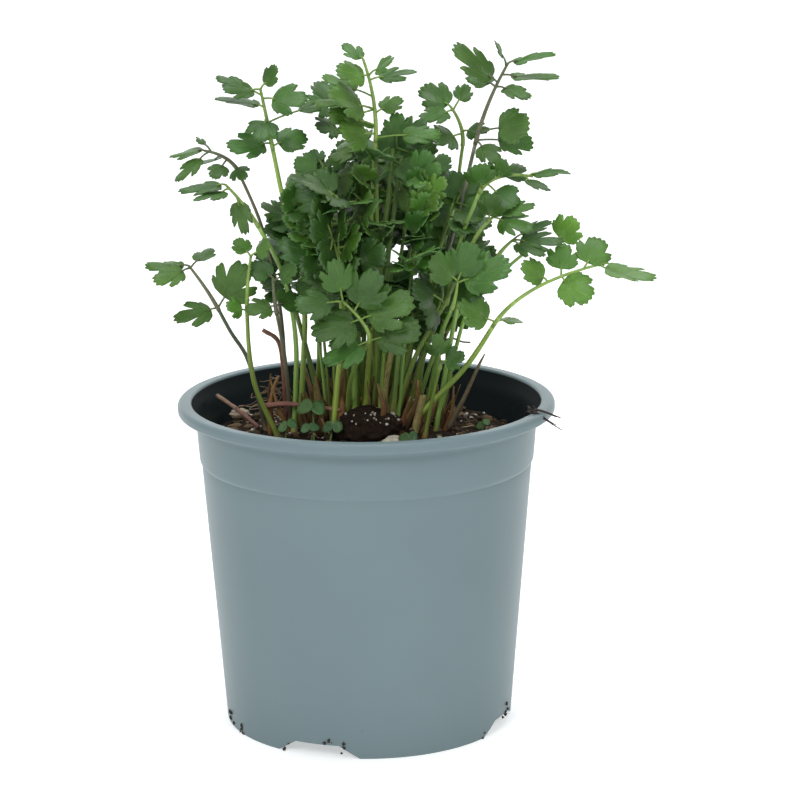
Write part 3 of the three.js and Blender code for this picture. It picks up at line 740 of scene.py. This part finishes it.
def pot_profile():
    """Radius and height round the pot's section, from the middle of the underside and back."""
    height = POT_TOP
    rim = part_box("pot")[1][0]
    slope = (STEP_RADIUS - FOOT_RADIUS) / COLLAR_FOOT
    base_top = BASE_RAISE + BASE_THICKNESS
    lip_foot = height - LIP_DEPTH
    outer = [(0, 0), (PAD_RADIUS, 0), (PAD_RADIUS + 2 * MM, BASE_RAISE)]
    outer += [(FOOT_RADIUS + slope * BASE_RAISE - WALL, BASE_RAISE), (FOOT_RADIUS - WALL, 0.2 * MM)]
    outer += [(FOOT_RADIUS - WALL + 0.2 * MM, 0), (FOOT_RADIUS - 0.2 * MM, 0), (FOOT_RADIUS, 0.2 * MM)]
    outer += [(FOOT_RADIUS + slope * z * MM, z * MM) for z in (8, 30, 60, 88)]
    for share, up in ((0, -0.6), (-0.1, -0.2), (0.35, 0.3), (0.8, 0.8), (1, 1.5)):
        outer.append((STEP_RADIUS + share * COLLAR_STEP, COLLAR_FOOT + up * MM))
    outer += [(COLLAR_TOP_RADIUS - 0.35 * MM, lip_foot - 9 * MM)]
    outer += arc((COLLAR_TOP_RADIUS + COLLAR_ROUND, lip_foot - 3.4 * MM), COLLAR_ROUND, 180, 90, 7)
    outer += arc((rim - LIP_ROUND, lip_foot + LIP_ROUND), LIP_ROUND, -90, 0, 4)
    outer += arc((rim - RIM_ROUND, height - RIM_ROUND), RIM_ROUND, 0, 90, 6)
    inner = arc((RIM_INNER + RIM_INNER_ROUND, height - RIM_INNER_ROUND), RIM_INNER_ROUND, 90, 180, 5)
    inner += [(COLLAR_TOP_RADIUS + 0.5 * MM, lip_foot - 0.8 * MM)]
    inner += [(COLLAR_TOP_RADIUS - WALL, lip_foot - 4.5 * MM)]
    inner += [(STEP_RADIUS + COLLAR_STEP - WALL, COLLAR_FOOT + 1 * MM)]
    inner += [(STEP_RADIUS - WALL, COLLAR_FOOT)]
    inner += [(FOOT_RADIUS + slope * base_top - WALL, base_top)]
    inner += [(PAD_RADIUS + 1 * MM, base_top), (PAD_RADIUS - 1 * MM, BASE_THICKNESS), (0, BASE_THICKNESS)]
    return outer, inner


def turned(skin, profile, sides):
    """A closed turned body from a profile that starts and ends on the axis."""
    rings = []
    for radius, height in profile:
        on_axis = radius < 1e-6
        rings.append([skin.add((0, 0, height))] if on_axis else add_ring(skin, radius, height, sides))
    join_rings(skin, rings)


def cutter(name, corners, depth, radius, turn):
    """A prism that is cut out of the pot: its corners are [sideways, height]."""
    bm = bmesh.new()
    rows = []
    for y in (-radius - depth / 2, -radius + depth / 2):
        rows.append([bm.verts.new((x, y, z)) for x, z in corners])
    front, back = rows
    bm.faces.new(front)
    bm.faces.new(reversed(back))
    for i in range(len(corners)):
        j = (i + 1) % len(corners)
        bm.faces.new((front[j], front[i], back[i], back[j]))
    bmesh.ops.recalc_face_normals(bm, faces=bm.faces)
    bmesh.ops.rotate(bm, verts=bm.verts, cent=(0, 0, 0), matrix=Matrix.Rotation(turn, 3, "Z"))
    mesh = bpy.data.meshes.new(name)
    bm.to_mesh(mesh)
    bm.free()
    return placed(name, mesh)


def inside_pot(point):
    """Whether the point is on the pot's inner wall, below the rounded edge of the rim."""
    if point.z < BASE_RAISE + BASE_THICKNESS / 2 or point.z > POT_TOP - 0.8 * MM:
        return False
    if point.z > POT_TOP - LIP_DEPTH - 0.85 * MM:
        limit = RIM_INNER + 0.01 * MM
    elif point.z > COLLAR_FOOT:
        share = (point.z - COLLAR_FOOT) / (POT_TOP - LIP_DEPTH - COLLAR_FOOT)
        low = STEP_RADIUS + COLLAR_STEP - WALL / 2
        limit = low + (COLLAR_TOP_RADIUS - low) * share * 0.75
    else:
        limit = FOOT_RADIUS + (STEP_RADIUS - FOOT_RADIUS) * point.z / COLLAR_FOOT - WALL / 2
    return hypot(point.x, point.y) < limit


def paint_pot(mesh):
    tint = mesh.color_attributes["tint"]
    for vert in mesh.vertices:
        tint.data[vert.index].color = (*(POT_INSIDE if inside_pot(vert.co) else POT_GREY), 1)


def make_pot():
    outer, inner = pot_profile()
    skin = Skin()
    turned(skin, outer + inner, POT_SIDES)
    pot = piece("nursery_pot", skin, pot_material(), "pot_plastic", "pot")
    flare = (NOTCH_FOOT_WIDTH - NOTCH_TOP_WIDTH) / 2 / NOTCH_HEIGHT * MM
    foot, top = NOTCH_FOOT_WIDTH / 2 + flare, NOTCH_TOP_WIDTH / 2
    notch = [(-foot, -1 * MM), (foot, -1 * MM), (top, NOTCH_HEIGHT), (-top, NOTCH_HEIGHT)]
    half = SLOT_LENGTH / 2
    slot = [(-half, 4 * MM), (half, 4 * MM), (half, 7 * MM), (-half, 7 * MM)]
    for i in range(4):
        turn = NOTCH_TURN + pi / 2 * i
        tools = (cutter("notch_tool", notch, 20 * MM, FOOT_RADIUS, turn),
                 cutter("slot_tool", slot, SLOT_WIDTH, SLOT_RADIUS, turn))
        for tool in tools:
            cut = pot.modifiers.new("cut", "BOOLEAN")
            cut.operation = "DIFFERENCE"
            cut.object = tool
            cut.solver = "EXACT"
            bpy.context.view_layer.objects.active = pot
            bpy.ops.object.modifier_apply(modifier=cut.name)
            bpy.data.objects.remove(tool)
    pot.data.polygons.foreach_set("use_smooth", [True] * len(pot.data.polygons))
    pot.data.set_sharp_from_angle(angle=radians(40))
    paint_pot(pot.data)


# ---------- Soil ----------
def soil_top():
    """A search tree of the CAD soil, to find its level anywhere."""
    bm = merged("soil")
    tree = BVHTree.FromBMesh(bm)
    bm.free()
    return tree


def level(tree, x, y):
    hit = tree.ray_cast(Vector((x, y, 0.2)), Vector((0, 0, -1)))
    return hit[0].z if hit[0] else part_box("soil")[1][2] - 7 * MM


def rough_level(tree, x, y):
    """The soil's level with its lumps and crumbs."""
    spot = Vector((x, y, 0))
    lumps = noise.fractal(spot * 160, 0.8, 2.1, 4) * 1.1 * MM
    crumbs = abs(noise.noise(spot * 520)) * 1.1 * MM
    return level(tree, x, y) + lumps + crumbs - 0.4 * MM


def make_soil(tree, material):
    low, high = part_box("soil")
    reach = high[0]
    skin = Skin()
    rows = [[skin.add((0, 0, rough_level(tree, 0, 0)))]]
    for k in range(1, SOIL_RINGS + 1):
        radius = reach * (k / SOIL_RINGS) ** 0.8
        inside = min(1.0, (reach - 0.2 * MM) / radius)
        row = []
        for n in range(SOIL_SIDES):
            turn = 2 * pi * n / SOIL_SIDES
            x, y = radius * cos(turn), radius * sin(turn)
            row.append(skin.add((x * inside, y * inside, rough_level(tree, x * 0.99, y * 0.99))))
        rows.append(row)
    shrink = (FOOT_RADIUS - WALL) / reach
    bottom = low[2] + 5 * MM
    for height, scale in ((low[2] + 60 * MM, (1 + shrink) / 2 * 0.99), (bottom, shrink * 0.985)):
        rows.append(add_ring(skin, reach * scale, height, SOIL_SIDES))
    rows.append([skin.add((0, 0, bottom))])
    join_rings(skin, rows, flip=True)
    piece("peat_soil_fine", skin, material, "peat_soil", "soil")


def add_lump(skin, rng, centre, sizes, colour, detail=1, rough=0.25):
    """An irregular crumb, pebble or clod: a ball pushed in and out by noise."""
    bm = bmesh.new()
    bmesh.ops.create_icosphere(bm, subdivisions=detail, radius=1)
    angle = rng.uniform(0, 6.28)
    turn = Matrix.Rotation(angle, 3, Vector((rng.random() + 0.1, rng.random(), rng.random())))
    seed = Vector((rng.uniform(0, 50), rng.uniform(0, 50), 0))
    first = len(skin.points)
    for vert in bm.verts:
        bump = 1 + rough * (noise.noise(vert.co * 1.4 + seed) + 0.5 * noise.noise(vert.co * 3.5 + seed))
        local = turn @ (vert.co * bump) if max(sizes) < 4 * MM else vert.co * bump
        skin.add(centre + Vector((local.x * sizes[0], local.y * sizes[1], local.z * sizes[2])), colour)
    for face in bm.faces:
        skin.faces.append(tuple(first + vert.index for vert in face.verts))
    bm.free()


def scatter_spot(rng, reach):
    radius = reach * sqrt(rng.random())
    turn = rng.uniform(0, 2 * pi)
    return radius * cos(turn), radius * sin(turn)


def make_crumbs(tree, material):
    """Loose peat crumbs, bark and white perlite all over the soil."""
    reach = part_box("soil")[1][0] - 1.5 * MM
    rng = random.Random(7)
    peat = Skin()
    for _ in range(CRUMB_COUNT):
        x, y = scatter_spot(rng, reach)
        size = rng.uniform(0.4, 1.5) * MM * (1.8 if rng.random() < 0.1 else 1)
        shade = mix((0.020, 0.013, 0.009), (0.20, 0.125, 0.065), rng.random() ** 2.2)
        sizes = (size, size * rng.uniform(0.5, 1), size * rng.uniform(0.4, 0.8))
        centre = Vector((x, y, rough_level(tree, x, y) + size * 0.15))
        add_lump(peat, rng, centre, sizes, shade, 1 if size < 1.1 * MM else 2, 0.6)
    piece("peat_crumbs", peat, material, "peat_soil")
    pale = Skin()
    for _ in range(PERLITE_COUNT):
        x, y = scatter_spot(rng, reach)
        size = rng.uniform(0.35, 1.0) * MM * (2.0 if rng.random() < 0.08 else 1)
        shade = mix((0.38, 0.32, 0.22), (0.75, 0.74, 0.70), rng.random())
        centre = Vector((x, y, rough_level(tree, x, y) + size * 0.3))
        add_lump(pale, rng, centre, (size, size * 0.85, size * 0.7), shade, 1, 0.4)
    piece("perlite", pale, grain_material("perlite", 0.8, 800, 0.4), "pale_stone")


def make_clod(material):
    low, high = (Vector(corner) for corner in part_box("peat_clod"))
    rng = random.Random(12)
    centre = Vector(((low.x + high.x) / 2, (low.y + high.y) / 2, low.z + (high.z - low.z) * 0.35))
    sizes = ((high.x - low.x) / 2, (high.y - low.y) / 2, (high.z - low.z) * 0.62)
    skin = Skin()
    add_lump(skin, rng, centre, sizes, (0.75, 0.7, 0.68), 5, 0.22)
    for point in skin.points:
        outward = (point - centre).normalized()
        point += outward * (noise.fractal(point * 420, 0.7, 2.2, 4) * 0.9 * MM)
    specks = Skin()
    for _ in range(SPECK_COUNT):
        turn, rise = rng.gauss(-0.9, 0.8), rng.uniform(0.35, 1.4)
        way = Vector((cos(turn) * cos(rise), sin(turn) * cos(rise), sin(rise)))
        spot = centre + Vector((way.x * sizes[0], way.y * sizes[1], way.z * sizes[2])) * 0.99
        size = rng.uniform(0.25, 0.6) * MM
        shade = mix((0.3, 0.26, 0.2), (0.7, 0.69, 0.66), rng.random())
        add_lump(specks, rng, spot, (size, size, size), shade, 1)
    piece("peat_clod_fine", skin, material, "peat_soil", "peat_clod")
    piece("clod_specks", specks, grain_material("clod_specks", 0.8, 900, 0.3), "pale_stone")


def make_pebble(name, node, slot, colour, seed, rough):
    low, high = (Vector(corner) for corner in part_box(node))
    skin = Skin()
    sizes = tuple(side / 2 for side in high - low)
    add_lump(skin, random.Random(seed), (low + high) / 2, sizes, colour, 4, rough)
    piece(name, skin, grain_material(name, 0.75, 500, 0.35), slot, node)


def make_straw(rng, material):
    low, high = (Vector(corner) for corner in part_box("straw"))
    straw = Skin()
    start, end = Vector((low.x, high.y, high.z - 1 * MM)), Vector((high.x, low.y, low.z))
    line = smooth_line([start, start.lerp(end, 0.5) + Vector((0, 0, 0.5 * MM)), end], 12)
    shades = [mix((0.30, 0.20, 0.13), (0.22, 0.09, 0.08), k / 12) for k in range(13)]
    add_tube(straw, line, [rng.uniform(0.65, 0.85) * MM for _ in line], 7, shades, 0.7)
    piece("straw_fine", straw, material, "dry_husk", "straw")


def make_stubs(tree, rng, material):
    """Dry brown stubs and sheaths of old stalks in the clump."""
    stubs = Skin()
    browns = ((0.15, 0.065, 0.02), (0.26, 0.125, 0.035), (0.22, 0.07, 0.035), (0.09, 0.045, 0.018))
    for _ in range(STUB_COUNT):
        turn = rng.uniform(0, 6.28)
        radius = rng.uniform(4, 27) * MM
        foot = Vector((radius * cos(turn) * 1.15 - 2 * MM, radius * sin(turn) * 0.75 + 6 * MM, 0))
        foot.z = level(tree, foot.x, foot.y) - 2 * MM
        tip = rng.uniform(0, 0.5)
        lean = Vector((cos(turn) * tip, sin(turn) * tip, 1)).normalized()
        height = rng.uniform(6, 24) * MM
        bend = Vector((rng.uniform(-1, 1), rng.uniform(-1, 1), 0)) * height * 0.12
        line = smooth_line([foot, foot + lean * height * 0.5 + bend, foot + lean * height], 7)
        width = rng.uniform(0.6, 1.9) * MM
        colour = varied(rng, browns[rng.randrange(4)], 0.3)
        radii = [width * (1 - 0.75 * (k / 7) ** 1.5) for k in range(8)]
        add_tube(stubs, line, radii, 6, [mix(colour, (0.36, 0.28, 0.10), k / 20) for k in range(8)], 0.5)
    piece("dry_stubs", stubs, material, "dry_husk")


def make_roots(tree, rng, material):
    """Fine dry roots that wander over the soil."""
    roots = Skin()
    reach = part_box("soil")[1][0] - 3 * MM
    for _ in range(ROOT_COUNT):
        x, y = scatter_spot(rng, reach)
        heading = rng.uniform(0, 6.28)
        points = []
        length = rng.uniform(5, 16) * MM
        for k in range(5):
            heading += rng.uniform(-0.7, 0.7)
            x = max(-reach, min(reach, x + cos(heading) * length / 5))
            y = max(-reach, min(reach, y + sin(heading) * length / 5))
            if hypot(x, y) > reach:
                x, y = x * reach / hypot(x, y), y * reach / hypot(x, y)
            points.append(Vector((x, y, rough_level(tree, x, y) + rng.uniform(0.2, 1.0) * MM)))
        line = smooth_line(points, 12)
        colour = mix((0.12, 0.07, 0.04), (0.42, 0.32, 0.20), rng.random())
        width = rng.uniform(0.12, 0.3) * MM
        add_tube(roots, line, [width] * 13, 5, [colour] * 13)
    piece("fine_roots", roots, material, "dry_husk")


def make_litter(tree):
    rng = random.Random(21)
    material = grain_material("dry_stalks", 0.7, 600, 0.4)
    make_straw(rng, material)
    make_stubs(tree, rng, material)
    make_roots(tree, rng, material)


# Seedlings: foot x, foot y and height of the leaves above the soil, leaf width, in mm
SEEDLINGS = ((-19, -11, 12, 5.2), (-27.5, -12, 8, 3.6), (-18.5, -17, 8, 3.4), (-13, -19, 8, 3.8),
             (14, -26, 7, 3.4), (-25, -22, 4, 3.0), (41, 6, 4, 2.6))


def add_round_leaf(skin, rng, centre, facing, size, colour):
    """A seedling's oval leaf: a shallow closed dish with a wavy edge."""
    along = facing.orthogonal().normalized()
    along = (along + Vector((rng.uniform(-1, 1), 0, rng.uniform(-1, 1))) * 0.8).normalized()
    along = (along - facing * along.dot(facing)).normalized()
    first = len(skin.points)
    sides = 22
    for height, share in ((0.0, 0.0), (0.04, 0.6), (0.10, 1.0), (0.07, 0.98), (-0.03, 0.6), (-0.05, 0.0)):
        for n in range(sides):
            turn = 2 * pi * n / sides
            reach = 0.5 * share * (1 + 0.05 * cos(3 * turn) + 0.025 * cos(7 * turn))
            offset = along * (1.25 * reach * cos(turn)) + facing.cross(along) * reach * sin(turn)
            skin.add(centre + (offset + facing * height) * size, colour, (share, turn / 6.28))
            if share == 0.0:
                break
    top, bottom = first, len(skin.points) - 1
    for n in range(sides):
        m = (n + 1) % sides
        skin.faces.append((top, first + 1 + n, first + 1 + m))
        skin.faces.append((bottom, bottom - sides + m, bottom - sides + n))
        for row in range(3):
            low = first + 1 + row * sides
            skin.faces.append((low + m, low + n, low + sides + n, low + sides + m))


def make_seedlings(tree, stalk_skin, leaf_skin):
    rng = random.Random(33)
    stems, leaves = Skin(), Skin()
    for x, y, height, width in SEEDLINGS:
        foot = Vector((x, y, 0)) * MM
        foot.z = level(tree, foot.x, foot.y) - 1 * MM
        top = foot + shaken(rng, (-2, 2), (-2, 1), height)
        bow = shaken(rng, (-1.2, 1.2), 0, 0)
        line = smooth_line([foot, foot.lerp(top, 0.5) + bow, top], 9)
        add_tube(stems, line, [0.35 * MM] * 10, 6, [(0.16, 0.22, 0.09)] * 10)
        for sign in (-1, 1):
            facing = Vector((sign * 0.5, -0.7, rng.uniform(0.3, 1.2))).normalized()
            centre = top + Vector((sign * width * 0.4, -0.4, rng.uniform(-0.3, 0.3) * width)) * MM
            colour = varied(rng, (0.075, 0.165, 0.055), 0.25)
            add_round_leaf(leaves, rng, centre, facing, width * MM, colour)
    piece("seedling_stems", stems, stalk_skin, "green_stalk")
    piece("seedling_leaves", leaves, leaf_skin, "leaf_green")


# Dry bits that lie or stand in the clump: points [x, y, z] in mm, radius at each end, colour
FALLEN = (
    ("fallen_pink", ((-35, -4, 112), (-28, -6, 113.2), (-19, -6, 112.2), (-9, -7, 111)),
     1.0, 0.7, (0.30, 0.12, 0.10)),
    ("bent_pink", ((-28, 6, 102), (-28.5, 5, 120), (-30, 4, 132.5), (-35.5, 4, 137)),
     0.9, 0.8, (0.28, 0.11, 0.09)),
    ("brown_sheath", ((-9, -5, 102), (-8.6, -5, 112), (-7.8, -4, 121), (-7, -4, 127)),
     2.3, 0.5, (0.24, 0.11, 0.035)),
    ("pale_base", ((5.5, -5, 103), (5.8, -5, 111), (7, -4, 122), (11, -3, 140)),
     1.9, 1.0, (0.38, 0.36, 0.12)),
    ("pale_stub", ((16.5, -7, 102), (17.5, -7, 108), (19, -7, 114), (19.4, -7, 116)),
     1.5, 1.3, (0.40, 0.34, 0.13)),
    ("dark_tip", ((28, -11, 105), (33, -11, 115), (38, -10, 126), (40.5, -10, 131)),
     1.3, 0.25, (0.10, 0.075, 0.045)),
    ("dark_twig", ((25, 2, 146), (26.2, 1, 140), (27.5, 1, 136), (27, 1, 130)),
     0.45, 0.35, (0.075, 0.055, 0.045)),
    ("side_twig", ((27.6, 1, 133.6), (30, 1, 134), (33, 1, 132.8), (36, 1, 132.5)),
     0.4, 0.3, (0.10, 0.07, 0.05)),
    ("orange_stub", ((-33, -2, 101), (-33.5, -2, 109), (-32, -2, 117), (-30, -2, 122)),
     1.2, 0.6, (0.30, 0.14, 0.05)),
)


def make_fallen(material):
    for name, points, start, end, colour in FALLEN:
        rng = random.Random(name)
        line = smooth_line([Vector(point) * MM for point in points], 18)
        radii = [(start + (end - start) * k / 18) * rng.uniform(0.93, 1.07) * MM for k in range(19)]
        shades = [varied(rng, mix(colour, (0.30, 0.24, 0.10), 0.3 * (k / 18)), 0.12) for k in range(19)]
        skin = Skin()
        add_tube(skin, line, radii, 10, shades, 0.75)
        piece(name, skin, material, "dry_husk")


# Dirt that sticks to the foot: angle from the front in degrees towards +X, height in mm, crumbs
FOOT_DIRT = ((-73, 3.5, 9), (-63, 1.5, 7), (-16, 4.0, 3), (-10, 3.8, 3), (52, 0.9, 3), (70, 5.5, 10),
             (-34, 1, 2))


def make_foot_dirt(material):
    rng = random.Random(52)
    skin = Skin()
    for angle, height, count in FOOT_DIRT:
        for _ in range(count):
            turn = radians(angle + rng.uniform(-3, 3))
            z = max(0.35, height + rng.uniform(-2.2, 2.2)) * MM
            size = rng.uniform(0.2, 0.65) * MM
            reach = FOOT_RADIUS + 0.08 * z
            spot = Vector((sin(turn) * reach, -cos(turn) * reach, z))
            size = min(size, spot.z)
            add_lump(skin, rng, spot, (size, size, size), (0.03, 0.02, 0.014), 2, 1.0)
    piece("foot_dirt", skin, material, "peat_soil")


def make_strands(material):
    """Wiry dry roots: a tuft at the back left, and a few strands over the rim at the right."""
    rng = random.Random(44)
    skin = Skin()
    for _ in range(TUFT_COUNT):
        start = shaken(rng, (-38, -27), (8, 16), (103, 117))
        points = [start]
        for _ in range(3):
            step = shaken(rng, (-4.5, 4.5), (-2, 2), (-2.2, 2.6))
            points.append(points[-1] + step)
        colour = mix((0.16, 0.09, 0.05), (0.40, 0.28, 0.17), rng.random())
        add_tube(skin, smooth_line(points, 14), [0.16 * MM] * 15, 5, [colour] * 15)
    piece("root_tuft", skin, material, "dry_husk")
    over = Skin()
    for _ in range(RIM_STRAND_COUNT):
        start = shaken(rng, (48, 54), (-24, -14), 104)
        rim_point = shaken(rng, (55, 58), (-26, -20), 114)
        hang = shaken(rng, (62.5, 66.5), (-29, -24), (108, 113.8))
        line = smooth_line([start, start.lerp(rim_point, 0.6), rim_point, hang], 16)
        add_tube(over, line, [rng.uniform(0.12, 0.3) * MM] * 17, 5, [(0.035, 0.022, 0.02)] * 17)
    for _ in range(RIM_CRUMB_COUNT):
        spot = shaken(rng, (54.5, 58), (-25, -17), (113.0, 114.2))
        size = rng.uniform(0.3, 0.9) * MM
        add_lump(over, rng, spot, (size, size, size * 0.7), (0.03, 0.02, 0.016), 1, 0.5)
    piece("rim_strands", over, material, "dry_husk")


# ---------- Studio ----------
def make_camera():
    data = bpy.data.cameras.new("camera")
    data.lens = CAMERA_LENS
    data.sensor_width = 36
    data.clip_end = 20
    camera = placed("camera", data)
    level_part = cos(CAMERA_PITCH)
    ahead = Vector((sin(CAMERA_YAW) * level_part, cos(CAMERA_YAW) * level_part, sin(CAMERA_PITCH)))
    right = ahead.cross(Vector((0, 0, 1))).normalized()
    up = right.cross(ahead)
    rolled = right * cos(CAMERA_ROLL) + up * sin(CAMERA_ROLL)
    upright = up * cos(CAMERA_ROLL) - right * sin(CAMERA_ROLL)
    turn = Matrix((rolled, upright, -ahead)).transposed().to_4x4()
    camera.matrix_world = Matrix.Translation(CAMERA_PLACE) @ turn
    bpy.context.scene.camera = camera


def area_light(name, place, target, size, power, colour=(1, 1, 1)):
    data = bpy.data.lights.new(name, "AREA")
    data.shape = "DISK"
    data.size = size
    data.energy = power
    data.color = colour
    way = (Vector(target) - Vector(place)).normalized()
    aim = way.to_track_quat("-Z", "Y").to_matrix().to_4x4()
    placed(name, data).matrix_world = Matrix.Translation(place) @ aim


def white_stage(name, corners, glow):
    """A white sheet of the studio, lit and glowing enough to stay white."""
    mesh = bpy.data.meshes.new(name)
    mesh.from_pydata(corners, [], [(0, 1, 2, 3)])
    sheet = placed(name, mesh)
    nodes = Nodes(name)
    nodes.set(Roughness=0.9, Base_Color=(0.85, 0.85, 0.85, 1))
    nodes.set(Emission_Color=(1, 1, 1, 1), Emission_Strength=glow)
    mesh.materials.append(nodes.material)


def make_studio():
    middle_point = (0, 0, 0.12)
    area_light("left", (-0.75, -1.4, 1.15), middle_point, 0.6, 9)
    area_light("right", (0.85, -1.4, 1.15), middle_point, 0.6, 8)
    area_light("top", (0.0, 0.1, 1.6), middle_point, 1.0, 14, (0.93, 0.97, 1.0))
    world = bpy.data.worlds.new("studio")
    world.use_nodes = True
    background = world.node_tree.nodes["Background"]
    background.inputs["Color"].default_value = (0.95, 0.98, 1.0, 1)
    background.inputs["Strength"].default_value = 0.42
    bpy.context.scene.world = world
    side = 3.0
    ground = [(-side, -side, 0), (side, -side, 0), (side, side, 0), (-side, side, 0)]
    white_stage("floor", ground, 0.45)
    back = [(-side, side, 0), (side, side, 0), (side, side, side), (-side, side, side)]
    white_stage("backdrop", back, 1.0)
    view = bpy.context.scene.view_settings
    view.view_transform = "Standard"
    view.look = "None"


# ---------- Assembly ----------
make_camera()
make_studio()
make_pot()
SOIL_TREE = soil_top()
SOIL_SKIN = soil_material()
make_soil(SOIL_TREE, SOIL_SKIN)
make_crumbs(SOIL_TREE, grain_material("peat_bits", 0.95, 900, 0.7))
make_clod(SOIL_SKIN)
make_pebble("white_stone_fine", "white_stone", "pale_stone", (0.62, 0.58, 0.47), 3, 0.2)
make_pebble("seed_husk_fine", "seed_husk", "dry_husk", (0.45, 0.36, 0.26), 5, 0.3)
make_litter(SOIL_TREE)
DRY_SKIN = grain_material("dry_bits", 0.7, 700, 0.4)
make_fallen(DRY_SKIN)
make_strands(DRY_SKIN)
make_foot_dirt(DRY_SKIN)
STALK_SKIN = stalk_material()
LEAF_SKIN = leaf_material()
make_seedlings(SOIL_TREE, STALK_SKIN, LEAF_SKIN)
make_young_leaves(SOIL_TREE, STALK_SKIN, LEAF_SKIN)
make_plant(STALK_SKIN, LEAF_SKIN)
